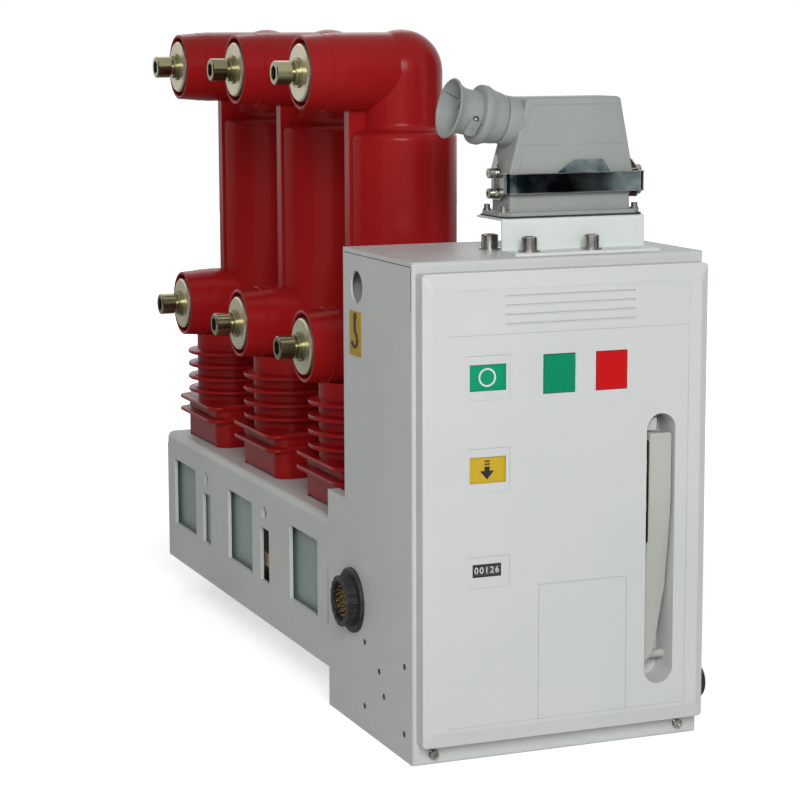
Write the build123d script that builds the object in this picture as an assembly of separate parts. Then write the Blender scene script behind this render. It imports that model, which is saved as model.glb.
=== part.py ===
from build123d import *
import math
import os

# Indoor vacuum circuit breaker, side-mounted pattern, 12 kV class.
# Three cast poles stand in a row on a folded sheet base. A sheet box in front holds
# the operating mechanism, and a plug connector stands on the box.
# Millimetres, +Z up. The origin is in the plane of the base's underside, level with
# the middle pole, at the centre of the four fixing holes. The box is towards -Y, and
# the terminals point towards -X.

# Poles: sizes that set the whole breaker
POLE_PITCH = 210.0
POLE_OFFSET = -41.0
TERMINAL_SPACING = 275.0
TERMINAL_REACH = 108.0
LOWER_TERMINAL_RISE = 165.4

# Pole casting
BODY_R = 57.0
NECK_R = 42.3
ARM_R = 39.5
ARM_MOUTH_R = 36.8
ARM_TAPER_LENGTH = 34.0
MOUTH_RECESS_R = 33.6
MOUTH_RECESS_DEPTH = 9.0
SHOULDER_RISE = 372.0
SHOULDER_HEIGHT = 19.0
SHOULDER_BEND = 8.55
PARTING_RIB_WIDTH = 13.0
PARTING_RIB_PROUD = 2.0
COLUMN_R = 42.0
COLUMN_REACH = 47.0
COLUMN_BACK = 13.5
SHED_PITCH = 15.05
ROUND_SHEDS = 4
FLAT_SHEDS = 2
TOP_SHED_RISE = 106.8
SHED_OVERHANG = 11.0
SHED_RIM = 4.4
SHED_ROOT = 8.0
SHED_EDGE = 1.8
SHED_SINK = 1.5
SHED_SEAM = 0.6
FLAT_SHED_SIDE = 2.0
BODY_LIFT = 3.0
FOOT_LEFT = 86.0
FOOT_RIGHT = 72.0
FOOT_WIDTH = 130.0
FOOT_CORNER = 16.0
FOOT_RELIEF = 2.5

# Terminals and their screws
CONTACT_R = 28.8
CONTACT_PROUD = 2.6
CONTACT_DEPTH = 22.0
CONTACT_EDGE = 1.5
WASHER_SEAT_DEPTH = 0.6
WASHER_R = 15.0
WASHER_THICKNESS = 3.0
SPRING_WASHER_R = 12.6
SPRING_WASHER_THICKNESS = 4.0
SCREW_R = 8.0
SCREW_GRIP = 3.0
SCREW_HEAD_R = 12.0
SCREW_HEAD_HEIGHT = 16.0
SCREW_SOCKET_AF = 14.0
SCREW_SOCKET_DEPTH = 9.0
SCREW_EDGE = 1.0
FIT = 0.3
PIN_FIT = 0.05

# Base, a folded channel that is open below
BASE_HEIGHT = 153.8
BASE_REAR = 294.6
BASE_SHEET = 4.0
BASE_BEND = 8.0
DECK_LIP = 14.0
DECK_REAR_EDGE = 3.2
BASE_FLANGE = 32.0
WINDOW_WIDTH = 86.0
WINDOW_HEIGHT = 79.6
WINDOW_SILL = 44.2
WINDOW_SHIFT = 14.0
SLOT_WIDTH = 29.5
SLOT_HEIGHT = 59.0
SLOT_SHIFT = -71.5
SIDE_SCREW_R = 7.7
SIDE_SCREW_HEIGHT = 120.2
SUPPORT_SET_IN = 26.0
SUPPORT_WIDTH = 112.0
SUPPORT_DROP = 120.0
FIXING_R = 6.5
FIXING_SET_IN = 17.0
FIXING_SPACING_Y = 480.0
TIE_WIDTH = 60.0
TIE_THICKNESS = 5.0
SHAFT_R = 12.5
SHAFT_OFFSET = 34.0
SHAFT_HEIGHT = 70.0

# Mechanism box
BOX_WIDTH = 296.0
BOX_HEIGHT = 468.0
BOX_DEPTH = 175.0
TAB_DEPTH = 48.0
TAB_TOP = 222.0
TAB_LIP = 12.0
BOX_SHEET = 2.0
BOX_FRONT = -500.4
BOX_BOTTOM = -37.8
FRONT_RETURN = 11.0
FRONT_BEND = 3.0
TOP_LIP = 5.0
LIFTING_HOLE_R = 15.5
LIFTING_HOLE_BACK = 139.5
LIFTING_HOLE_DROP = 35.6

# Moulded front cover, measured from the box's left edge and bottom edge
COVER_INSET = 3.3
COVER_BOTTOM = 21.0
COVER_TOP = 458.5
COVER_DEPTH = 20.0
COVER_SIDE_DEPTH = 16.0
COVER_BEVEL_SIDE = 8.3
COVER_BEVEL_END = 14.0
COVER_WALL = 3.0
COVER_CORNER = 4.0
PANEL_LEFT = 27.0
PANEL_RIGHT = 272.0
PANEL_BOTTOM = 38.0
PANEL_TOP = 402.0
PANEL_RECESS = 1.5
HEADER_TOP = 442.6
HEADER_RECESS = 0.5
VENT_LEFT = 83.5
VENT_RIGHT = 215.0
VENT_TOP = 437.0
VENT_PITCH = 8.5
VENT_COUNT = 4
VENT_HEIGHT = 2.0
VENT_DEPTH = 1.5
FIELD_LEFT = 118.0
FIELD_RIGHT = 209.0
FIELD_SPLIT = 166.0
FIELD_LINE = 0.8

# Windows, flags and counter in the cover
FRAME_LEFT = 45.3
FRAME_WIDTH = 43.5
FRAME_HEIGHT = 41.0
FRAME_RECESS = 1.2
WINDOW_GLASS_LEFT = 49.0
WINDOW_GLASS_WIDTH = 36.2
POSITION_WINDOW_BOTTOM = 350.5
CHARGE_WINDOW_BOTTOM = 265.5
FLAG_WINDOW_HEIGHT = 24.3
FLAG_TRAVEL = 27.0
FLAG_WIDTH = 42.0
FLAG_THICKNESS = 1.5
FLAG_SETBACK = 1.5
GUIDE_WIDTH = 4.0
COUNTER_FRAME_BOTTOM = 168.0
COUNTER_FRAME_HEIGHT = 29.5
COUNTER_WINDOW_LEFT = 52.1
COUNTER_WINDOW_BOTTOM = 178.1
COUNTER_WINDOW_WIDTH = 28.7
COUNTER_WINDOW_HEIGHT = 12.2
COUNTER_MARGIN = 4.0

# Push buttons
BUTTON_WIDTH = 31.4
BUTTON_HEIGHT = 35.4
BUTTON_BOTTOM = 345.2
CLOSE_BUTTON_LEFT = 122.4
TRIP_BUTTON_LEFT = 175.9
BUTTON_GAP = 0.6
BUTTON_PROUD = 1.0
BUTTON_THICKNESS = 8.0
BUTTON_CORNER = 1.5
BUTTON_FACE_EDGE = 0.75
BUTTON_STEM_R = 5.0
BUTTON_STEM_LENGTH = 26.0

# Charging lever and its pocket
POCKET_CENTRE = 244.2
POCKET_WIDTH = 30.2
POCKET_BOTTOM = 58.8
POCKET_TOP = 319.0
POCKET_DEPTH = 34.0
POCKET_WALL = 2.5
POCKET_CUT_SIDE = 1.0
POCKET_CUT_END = 5.0
LEVER_WIDTH = 21.0
LEVER_SHEET = 2.0
LEVER_BEND = 2.8
LEVER_TOP = 300.0
LEVER_PIVOT_HEIGHT = 82.0
LEVER_PIVOT_BACK = 3.0
LEVER_PIN_R = 4.0
LEVER_BOSS_R = 8.5
LEVER_CHEEK = 11.0
LEVER_FACE = 16.5
LEVER_KNEE = 226.0
LEVER_ANKLE = 150.0
LEVER_ANKLE_SET = 9.0

# Round fittings on the sides of the box
SOCKET_BACK = 155.0
SOCKET_HEIGHT = 124.0
SOCKET_R = 32.0
SOCKET_FLANGE = 4.0
SOCKET_EDGE = 1.6
SOCKET_CUP_R = 25.0
SOCKET_CUP_DEPTH = 14.0
SOCKET_BORE_R = 19.5
SOCKET_BORE_DEPTH = 9.0
SOCKET_PIN_R = 1.6
SOCKET_NOTCHES = 16
PLUG_BACK = 35.0
PLUG_HEIGHT = 41.0
PLUG_R = 18.0
PLUG_REACH = 22.0
PLUG_EDGE = 4.5

# Connector on its bracket
CONNECTOR_CENTRE = 35.4
BRACKET_FRONT = 45.5
BRACKET_WIDTH = 148.5
BRACKET_HEIGHT = 32.5
BRACKET_DEPTH = 58.0
BRACKET_FOOT = 30.0
BRACKET_SHEET = 2.5
BRACKET_BEND = 4.0
BRACKET_BOLT_R = 4.5
BRACKET_BOLT_SPACING = 64.0
BRACKET_BOLT_SHIFT = -22.0
GASKET = 1.5
SEAT_FLANGE = 3.5
SEAT_FLANGE_CORNER = 9.0
SEAT_FLANGE_MARGIN = 1.0
HOUSING_LENGTH = 126.0
HOUSING_WIDTH = 42.0
HOUSING_HEIGHT = 30.0
HOUSING_WALL = 3.0
HOUSING_DRAFT = 1.0
HOOD_LENGTH = 124.4
HOOD_WIDTH = 43.0
HOOD_TOP_LENGTH = 97.0
HOOD_TOP_WIDTH = 37.0
HOOD_HEIGHT = 76.0
HOOD_EDGE = 3.0
HOOD_TOP_EDGE = 1.8
PEG_R = 3.2
PEG_HEIGHT = 19.0
PEG_ROOT = 5.0
PIVOT_R = 3.2
PIVOT_HEIGHT = 16.5
PIVOT_ROOT = 3.0
PIN_PROUD = 2.0
LEVER_BAR_HEIGHT = 17.0
LEVER_BAR_SHEET = 1.4
LEVER_BAR_REACH = 28.0
LEVER_BAR_GAP = 3.0
LEVER_BAR_RISE = 1.0
LEVER_ARM_BACK = 8.0
LEVER_ARM_DROP = 6.0
PEG_CLEARANCE = 7.5
TAB_WIDTH = 42.0
TAB_HEIGHT = 11.0
TAB_CORNER = 8.8

# Cable gland at the hood's left side
GLAND_TILT = 12.0
GLAND_RISE = 53.0
SPIGOT_R = 20.5
SPIGOT_LENGTH = 14.0
SPIGOT_SINK = 10.0
HOOD_BORE_DEPTH = 26.0
GLAND_NUT_AF = 41.0
GLAND_NUT_LENGTH = 12.0
GLAND_RING_R = 27.0
GLAND_RING_LENGTH = 13.0
GLAND_RING_EDGE = 4.0
CLAMP_R = 20.0
CLAMP_LENGTH = 24.0
BELL_MOUTH_R = 28.2
BELL_LENGTH = 15.0
BELL_FLARE_START = 7.5
GLAND_BORE_R = 13.0
BELL_WALL = 2.0


# Places that follow from the sizes above
box_left = -BOX_WIDTH / 2
box_right = BOX_WIDTH / 2
box_top = BOX_BOTTOM + BOX_HEIGHT
cover_front = BOX_FRONT - COVER_DEPTH
upper_rise = LOWER_TERMINAL_RISE + TERMINAL_SPACING
base_front = BOX_FRONT + BOX_DEPTH
base_width = BOX_WIDTH - 2 * BOX_SHEET
fixing_x = base_width / 2 - FIXING_SET_IN
pole_rows = [-POLE_PITCH, 0.0, POLE_PITCH]
support_level = BASE_HEIGHT - BASE_SHEET
tray_top = box_top + BRACKET_HEIGHT
bracket_front = BOX_FRONT + BRACKET_FRONT
connector_middle = bracket_front + BRACKET_DEPTH / 2
seat_top = tray_top + GASKET + SEAT_FLANGE
hood_bottom = seat_top + HOUSING_HEIGHT


def span(x0, x1, y0, y1, z0, z1):
    """A block given by its low and high coordinates."""
    centre = Pos((x0 + x1) / 2, (y0 + y1) / 2, (z0 + z1) / 2)
    return centre * Box(x1 - x0, y1 - y0, z1 - z0)


def rod_x(x0, x1, y, z, radius):
    """A cylinder along X."""
    return Pos((x0 + x1) / 2, y, z) * Rot(0, 90, 0) * Cylinder(radius, x1 - x0)


def rod_y(x, y0, y1, z, radius):
    """A cylinder along Y."""
    return Pos(x, (y0 + y1) / 2, z) * Rot(90, 0, 0) * Cylinder(radius, y1 - y0)


def column_outline(overhang):
    """Plan of the pole's lower column, grown by an overhang: a slot along X."""
    radius = COLUMN_R + overhang
    middle = (COLUMN_BACK - COLUMN_REACH) / 2
    return Pos(middle, 0) * SlotCenterToCenter(COLUMN_REACH + COLUMN_BACK, 2 * radius)


def foot_outline(overhang):
    """Plan of the pole's foot, grown most towards the terminals and little elsewhere."""
    side = FLAT_SHED_SIDE * overhang / SHED_OVERHANG
    low = -FOOT_LEFT - overhang
    high = FOOT_RIGHT + side
    plan = RectangleRounded(high - low, FOOT_WIDTH + 2 * side, FOOT_CORNER)
    return Pos((low + high) / 2, 0) * plan


def loft_between(lower, z0, upper, z1):
    """A tapering solid from one plan to another."""
    return loft([Pos(0, 0, z0) * lower, Pos(0, 0, z1) * upper], ruled=True)


def shed(outline, rise):
    """One shed of a given outline: thick at its root, thin at its rounded rim."""
    half_rim = SHED_RIM / 2
    rim = Pos(0, 0, rise - half_rim) * extrude(outline(SHED_OVERHANG), SHED_RIM)
    rim = fillet(rim.edges().group_by(Axis.Z)[0], SHED_EDGE)
    rim = fillet(rim.edges().group_by(Axis.Z)[-1], SHED_EDGE)
    root = outline(-SHED_SINK)
    collar = outline(SHED_OVERHANG - SHED_EDGE)
    inside = half_rim - SHED_SEAM
    low = loft_between(root, rise - SHED_ROOT / 2, collar, rise - inside)
    high = loft_between(collar, rise + inside, root, rise + SHED_ROOT / 2)
    return rim + low + high


def arm(rise):
    """One arm of the pole, with its tapered mouth towards -X."""
    outline = Polyline(
        (0, 0),
        (0, ARM_R),
        (TERMINAL_REACH - ARM_TAPER_LENGTH, ARM_R),
        (TERMINAL_REACH, ARM_MOUTH_R),
        (TERMINAL_REACH, 0),
        close=True,
    )
    turned = revolve(make_face(outline), Axis.X)
    return Pos(0, 0, rise) * Rot(0, 0, 180) * turned


def pole_casting():
    """The cast body of a pole: foot, sheds, body, shoulder, neck and two arms."""
    foot_top = TOP_SHED_RISE - ROUND_SHEDS * SHED_PITCH
    body_start = LOWER_TERMINAL_RISE - ARM_R + BODY_LIFT
    foot = extrude(foot_outline(0), foot_top)
    foot -= extrude(Pos(-FOOT_LEFT, 0) * Rectangle(FOOT_LEFT, FOOT_WIDTH - 2 * FOOT_CORNER), FOOT_RELIEF)
    column = Pos(0, 0, foot_top) * extrude(column_outline(0), body_start - foot_top)
    solid = foot + column
    for count in range(ROUND_SHEDS + FLAT_SHEDS):
        outline = column_outline if count < ROUND_SHEDS else foot_outline
        solid += shed(outline, TOP_SHED_RISE - count * SHED_PITCH)
    rib_depth = BODY_R + PARTING_RIB_PROUD
    half_rib = PARTING_RIB_WIDTH / 2
    solid += turned_body(body_start)
    solid += span(-rib_depth, 0, -half_rib, half_rib, body_start, upper_rise - ARM_R / 2)
    solid += arm(LOWER_TERMINAL_RISE)
    solid += arm(upper_rise)
    for rise in (LOWER_TERMINAL_RISE, upper_rise):
        solid -= rod_x(-TERMINAL_REACH, -TERMINAL_REACH + MOUTH_RECESS_DEPTH, 0, rise, MOUTH_RECESS_R)
        solid -= rod_x(-TERMINAL_REACH, -TERMINAL_REACH + CONTACT_DEPTH, 0, rise, CONTACT_R)
    return solid


def turned_body(start):
    """The round body with its curved shoulder, the neck and the domed elbow, as one turning."""
    top = SHOULDER_RISE + SHOULDER_HEIGHT
    dome = upper_rise + NECK_R
    with BuildPart() as turned:
        with BuildSketch(Plane.XZ):
            with BuildLine():
                side = FilletPolyline(
                    (BODY_R, start),
                    (BODY_R, SHOULDER_RISE + SHOULDER_BEND),
                    (NECK_R, top - SHOULDER_BEND),
                    (NECK_R, upper_rise),
                    radius=SHOULDER_BEND,
                )
                RadiusArc(side @ 1, (0, dome), -NECK_R)
                Polyline((0, dome), (0, start), (BODY_R, start))
            make_face()
        revolve(axis=Axis.Z)
    return turned.part


def contact_disc():
    """A plated contact disc in the mouth of an arm, with a shallow washer seat."""
    back = -TERMINAL_REACH + CONTACT_DEPTH
    face = -TERMINAL_REACH - CONTACT_PROUD
    disc = rod_x(face, back, 0, 0, CONTACT_R)
    disc = chamfer(disc.edges().filter_by(GeomType.CIRCLE).group_by(Axis.X)[0], CONTACT_EDGE)
    disc -= rod_x(face, face + WASHER_SEAT_DEPTH, 0, 0, WASHER_R + FIT)
    disc -= rod_x(face, back, 0, 0, SCREW_R)
    return disc


def terminal_screw():
    """A socket head screw with a flat washer and a spring washer."""
    seat = -TERMINAL_REACH - CONTACT_PROUD + WASHER_SEAT_DEPTH
    washer_face = seat - WASHER_THICKNESS
    spring_face = washer_face - SPRING_WASHER_THICKNESS
    head_base = spring_face - SCREW_GRIP
    tip = head_base - SCREW_HEAD_HEIGHT
    head = rod_x(tip, head_base, 0, 0, SCREW_HEAD_R)
    head = chamfer(head.edges().filter_by(GeomType.CIRCLE).group_by(Axis.X)[0], SCREW_EDGE)
    socket = extrude(RegularPolygon(SCREW_SOCKET_AF / 2, 6, major_radius=False), SCREW_SOCKET_DEPTH)
    head -= Pos(tip, 0, 0) * Rot(0, 90, 0) * socket
    shank = rod_x(head_base, -TERMINAL_REACH + CONTACT_DEPTH, 0, 0, SCREW_R)
    washer = rod_x(washer_face, seat, 0, 0, WASHER_R)
    spring = rod_x(spring_face, washer_face, 0, 0, SPRING_WASHER_R)
    return head + shank + washer + spring


def at_poles(shape, rise):
    """Copies of a terminal piece, one on each pole, as one node."""
    return Compound([Pos(POLE_OFFSET, y, BASE_HEIGHT + rise) * shape for y in pole_rows])


def base_deck():
    """Top of the base with its two long bends, and the start of the side walls."""
    outer = Pos(0, BASE_HEIGHT - DECK_LIP / 2) * Rectangle(base_width, DECK_LIP)
    outer = fillet(outer.vertices().group_by(Axis.Y)[-1], BASE_BEND)
    inner_height = DECK_LIP - BASE_SHEET
    inner_width = base_width - 2 * BASE_SHEET
    inner = Pos(0, BASE_HEIGHT - DECK_LIP + inner_height / 2) * Rectangle(inner_width, inner_height)
    inner = fillet(inner.vertices().group_by(Axis.Y)[-1], BASE_BEND - BASE_SHEET)
    profile = Plane.XZ * (outer - inner)
    length = BASE_REAR - base_front
    deck = Pos(0, BASE_REAR, 0) * extrude(profile, length)
    rear = deck.edges().filter_by(GeomType.LINE).filter_by(Axis.X).group_by(Axis.Y)[-1].group_by(Axis.Z)[-1]
    return fillet(rear, DECK_REAR_EDGE)


def base_wall(side):
    """One side of the base: windows, slots, screw holes and a bottom flange."""
    outer = side * base_width / 2
    inner = outer - side * BASE_SHEET
    flange = outer - side * BASE_FLANGE
    x0, x1 = sorted((outer, inner))
    f0, f1 = sorted((outer, flange))
    wall = span(x0, x1, base_front, BASE_REAR - BASE_SHEET, 0, BASE_HEIGHT - DECK_LIP)
    wall += span(f0, f1, base_front, BASE_REAR - BASE_SHEET, 0, BASE_SHEET)
    for y in pole_rows:
        window_y = y + WINDOW_SHIFT
        slot_y = y + SLOT_SHIFT
        cuts = [(window_y, WINDOW_WIDTH, WINDOW_HEIGHT), (slot_y, SLOT_WIDTH, SLOT_HEIGHT)]
        for middle, width, height in cuts:
            half = width / 2
            wall -= span(x0, x1, middle - half, middle + half, WINDOW_SILL, WINDOW_SILL + height)
        wall -= rod_x(x0, x1, slot_y, SIDE_SCREW_HEIGHT, SIDE_SCREW_R)
    for y in (-FIXING_SPACING_Y / 2, FIXING_SPACING_Y / 2):
        wall -= Pos(side * fixing_x, y, BASE_SHEET / 2) * Cylinder(FIXING_R, BASE_SHEET)
    return wall


def base_end_wall():
    """The plate that closes the base's rear end."""
    half = base_width / 2
    return span(-half, half, BASE_REAR - BASE_SHEET, BASE_REAR, 0, BASE_HEIGHT - DECK_LIP)


def pole_supports(side):
    """Upright plates under the deck, one below each pole, behind the windows."""
    outer = side * (base_width / 2 - SUPPORT_SET_IN)
    inner = outer - side * BASE_SHEET
    x0, x1 = sorted((outer, inner))
    plates = []
    for y in pole_rows:
        low = y + WINDOW_SHIFT / 2 - SUPPORT_WIDTH / 2
        plates.append(
            span(x0, x1, low, low + SUPPORT_WIDTH, support_level - SUPPORT_DROP, support_level)
        )
    return Compound(plates)


def base_tie():
    """A cross tie between the bottom flanges, below the middle pole."""
    half = base_width / 2 - BASE_FLANGE
    return span(-half, half, -TIE_WIDTH / 2, TIE_WIDTH / 2, 0, TIE_THICKNESS)


def main_shaft():
    """The shaft that runs along the base to the three poles."""
    return rod_y(SHAFT_OFFSET, base_front, BASE_REAR - BASE_SHEET, SHAFT_HEIGHT, SHAFT_R)


def in_box(x0, x1, y0, y1, z0, z1):
    """A block measured from the box's front, left and bottom faces."""
    return Pos(box_left, BOX_FRONT, BOX_BOTTOM) * span(x0, x1, y0, y1, z0, z1)


def front_panel():
    """Front sheet of the box: a shallow tray with returned edges."""
    tray = in_box(0, BOX_WIDTH, 0, FRONT_RETURN, 0, BOX_HEIGHT)
    front_edges = tray.edges().group_by(Axis.Y)[0]
    tray = fillet(front_edges, FRONT_BEND)
    inner = in_box(
        BOX_SHEET, BOX_WIDTH - BOX_SHEET, BOX_SHEET, FRONT_RETURN, BOX_SHEET, BOX_HEIGHT - BOX_SHEET
    )
    tray -= inner
    half = POCKET_WIDTH / 2 + POCKET_WALL + POCKET_CUT_SIDE
    tray -= in_box(
        POCKET_CENTRE - half, POCKET_CENTRE + half, 0, BOX_SHEET,
        POCKET_BOTTOM - POCKET_CUT_END, POCKET_TOP + POCKET_CUT_END,
    )
    for left in (CLOSE_BUTTON_LEFT, TRIP_BUTTON_LEFT):
        x = box_left + left + BUTTON_WIDTH / 2
        z = BOX_BOTTOM + BUTTON_BOTTOM + BUTTON_HEIGHT / 2
        tray -= rod_y(x, BOX_FRONT, BOX_FRONT + BOX_SHEET, z, BUTTON_STEM_R + FIT)
    return tray


def side_wall(side):
    """A side sheet of the box, with a tab behind it that takes the base."""
    outer = side * BOX_WIDTH / 2
    inner = outer - side * BOX_SHEET
    lip = outer - side * TAB_LIP
    x0, x1 = sorted((outer, inner))
    l0, l1 = sorted((outer, lip))
    front = BOX_FRONT + FRONT_RETURN
    rear = BOX_FRONT + BOX_DEPTH
    bottom = BOX_BOTTOM
    tab_top = bottom + TAB_TOP
    wall = span(x0, x1, front, rear, bottom, box_top - TOP_LIP)
    wall += span(x0, x1, rear, rear + TAB_DEPTH, bottom, tab_top)
    wall += span(l0, l1, rear, rear + TAB_DEPTH, tab_top - BOX_SHEET, tab_top)
    hole_y = BOX_FRONT + LIFTING_HOLE_BACK
    wall -= rod_x(x0, x1, hole_y, box_top - LIFTING_HOLE_DROP, LIFTING_HOLE_R)
    return wall


def top_panel():
    """Top sheet of the box, with a lip turned down at each side."""
    panel = in_box(0, BOX_WIDTH, FRONT_RETURN, BOX_DEPTH, BOX_HEIGHT - TOP_LIP, BOX_HEIGHT)
    panel -= in_box(
        BOX_SHEET, BOX_WIDTH - BOX_SHEET, FRONT_RETURN, BOX_DEPTH, BOX_HEIGHT - TOP_LIP,
        BOX_HEIGHT - BOX_SHEET,
    )
    for x in bracket_bolts():
        hole_y = bracket_front - BRACKET_FOOT / 2
        panel -= Pos(x, hole_y, box_top - BOX_SHEET / 2) * Cylinder(BRACKET_BOLT_R, BOX_SHEET)
    return panel


def rear_panel():
    """Rear sheet of the box. The base butts against it."""
    right = BOX_WIDTH - BOX_SHEET
    return in_box(BOX_SHEET, right, BOX_DEPTH - BOX_SHEET, BOX_DEPTH, BOX_SHEET, BOX_HEIGHT - BOX_SHEET)


def bottom_panel():
    """Bottom sheet of the box, as deep as the tabs."""
    return in_box(BOX_SHEET, BOX_WIDTH - BOX_SHEET, FRONT_RETURN, BOX_DEPTH + TAB_DEPTH, 0, BOX_SHEET)


def cover_form(inset, depth_cut):
    """The cover's outer form, or its cavity when inset by the wall."""
    left = COVER_INSET + inset
    right = BOX_WIDTH - COVER_INSET - inset
    bottom = COVER_BOTTOM + inset
    top = COVER_TOP - inset
    side = COVER_SIDE_DEPTH - depth_cut
    full = COVER_DEPTH - depth_cut
    middle_x = box_left + (left + right) / 2
    middle_z = BOX_BOTTOM + (bottom + top) / 2
    plane = Plane(origin=(middle_x, BOX_FRONT, middle_z), x_dir=(1, 0, 0), z_dir=(0, -1, 0))
    outline = RectangleRounded(right - left, top - bottom, COVER_CORNER)
    face = RectangleRounded(
        right - left - 2 * COVER_BEVEL_SIDE, top - bottom - 2 * COVER_BEVEL_END, COVER_CORNER
    )
    walls = extrude(plane * outline, side)
    bevel = loft([plane * Pos(0, 0, side) * outline, plane * Pos(0, 0, full) * face], ruled=True)
    return walls + bevel


def on_cover(x0, x1, z0, z1, depth_from, depth_to):
    """A block cut into the cover, at depths measured back from its front face."""
    return in_box(x0, x1, -COVER_DEPTH + depth_from, -COVER_DEPTH + depth_to, z0, z1)


def pocket_form(grow, depth):
    """The stadium-shaped lever pocket, grown by a wall."""
    height = POCKET_TOP - POCKET_BOTTOM + 2 * grow
    width = POCKET_WIDTH + 2 * grow
    x = box_left + POCKET_CENTRE
    z = BOX_BOTTOM + (POCKET_TOP + POCKET_BOTTOM) / 2
    plane = Plane(origin=(x, cover_front, z), x_dir=(0, 0, 1), z_dir=(0, 1, 0))
    return extrude(plane * SlotOverall(height, width), depth)


def front_cover():
    """The moulded cover with its recessed panel, windows, wells and lever pocket."""
    cover = cover_form(0, 0) - cover_form(COVER_WALL, COVER_WALL)
    cover -= on_cover(PANEL_LEFT, PANEL_RIGHT, PANEL_BOTTOM, PANEL_TOP, 0, PANEL_RECESS)
    cover -= on_cover(PANEL_LEFT, PANEL_RIGHT, PANEL_TOP, HEADER_TOP, 0, HEADER_RECESS)
    for count in range(VENT_COUNT):
        z = VENT_TOP - count * VENT_PITCH
        cover -= on_cover(VENT_LEFT, VENT_RIGHT, z - VENT_HEIGHT, z, 0, HEADER_RECESS + VENT_DEPTH)
    line_depth = PANEL_RECESS + FIELD_LINE
    for x in (FIELD_LEFT, FIELD_RIGHT):
        cover -= on_cover(x, x + FIELD_LINE, PANEL_BOTTOM, FIELD_SPLIT, 0, line_depth)
    cover -= on_cover(
        FIELD_LEFT, FIELD_RIGHT + FIELD_LINE, FIELD_SPLIT, FIELD_SPLIT + FIELD_LINE, 0, line_depth
    )
    frame_right = FRAME_LEFT + FRAME_WIDTH
    frame_depth = PANEL_RECESS + FRAME_RECESS
    for bottom in (POSITION_WINDOW_BOTTOM, CHARGE_WINDOW_BOTTOM):
        low = bottom - (FRAME_HEIGHT - FLAG_WINDOW_HEIGHT) / 2
        cover -= on_cover(FRAME_LEFT, frame_right, low, low + FRAME_HEIGHT, 0, frame_depth)
        cover -= on_cover(
            WINDOW_GLASS_LEFT, WINDOW_GLASS_LEFT + WINDOW_GLASS_WIDTH, bottom, bottom + FLAG_WINDOW_HEIGHT,
            0, COVER_DEPTH,
        )
    counter_frame_top = COUNTER_FRAME_BOTTOM + COUNTER_FRAME_HEIGHT
    cover -= on_cover(FRAME_LEFT, frame_right, COUNTER_FRAME_BOTTOM, counter_frame_top, 0, frame_depth)
    cover -= on_cover(
        COUNTER_WINDOW_LEFT, COUNTER_WINDOW_LEFT + COUNTER_WINDOW_WIDTH, COUNTER_WINDOW_BOTTOM,
        COUNTER_WINDOW_BOTTOM + COUNTER_WINDOW_HEIGHT, 0, COVER_DEPTH,
    )
    for left in (CLOSE_BUTTON_LEFT, TRIP_BUTTON_LEFT):
        cover -= on_cover(
            left - BUTTON_GAP, left + BUTTON_WIDTH + BUTTON_GAP, BUTTON_BOTTOM - BUTTON_GAP,
            BUTTON_BOTTOM + BUTTON_HEIGHT + BUTTON_GAP, 0, COVER_DEPTH,
        )
    cover += pocket_form(POCKET_WALL, POCKET_DEPTH + POCKET_WALL) - pocket_form(
        POCKET_WALL, PANEL_RECESS
    )
    cover -= pocket_form(0, POCKET_DEPTH)
    return cover


def flag(bottom):
    """A two-field flag plate behind a window, with its lower field showing."""
    middle = WINDOW_GLASS_LEFT + WINDOW_GLASS_WIDTH / 2
    front = -COVER_DEPTH + COVER_WALL + FLAG_SETBACK
    low = bottom - (FLAG_TRAVEL - FLAG_WINDOW_HEIGHT) / 2
    half = FLAG_WIDTH / 2
    high = low + 2 * FLAG_TRAVEL
    return in_box(middle - half, middle + half, front, front + FLAG_THICKNESS, low, high)


def flag_guides():
    """Grooved rails on the front sheet that carry the two flags."""
    middle = WINDOW_GLASS_LEFT + WINDOW_GLASS_WIDTH / 2
    front = -COVER_DEPTH + COVER_WALL + FIT
    groove_front = -COVER_DEPTH + COVER_WALL + FLAG_SETBACK - FIT
    groove_back = groove_front + FLAG_THICKNESS + 2 * FIT
    edge = FLAG_WIDTH / 2 + FIT
    rails = []
    for bottom in (POSITION_WINDOW_BOTTOM, CHARGE_WINDOW_BOTTOM):
        low = bottom - (FLAG_TRAVEL - FLAG_WINDOW_HEIGHT) / 2 - FLAG_TRAVEL
        high = low + 3 * FLAG_TRAVEL
        for side in (-1, 1):
            near = middle + side * (edge - GUIDE_WIDTH / 2)
            deep = middle + side * edge
            far = middle + side * (edge + GUIDE_WIDTH / 2)
            rail = in_box(min(near, far), max(near, far), front, 0, low, high)
            rail -= in_box(min(near, deep), max(near, deep), groove_front, groove_back, low, high)
            rails.append(rail)
    return Compound(rails)


def counter():
    """The sealed stroke counter behind its window."""
    left = COUNTER_WINDOW_LEFT - COUNTER_MARGIN
    right = COUNTER_WINDOW_LEFT + COUNTER_WINDOW_WIDTH + COUNTER_MARGIN
    low = COUNTER_WINDOW_BOTTOM - COUNTER_MARGIN
    high = COUNTER_WINDOW_BOTTOM + COUNTER_WINDOW_HEIGHT + COUNTER_MARGIN
    return in_box(left, right, -COVER_DEPTH + COVER_WALL + FIT, 0, low, high)


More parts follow.
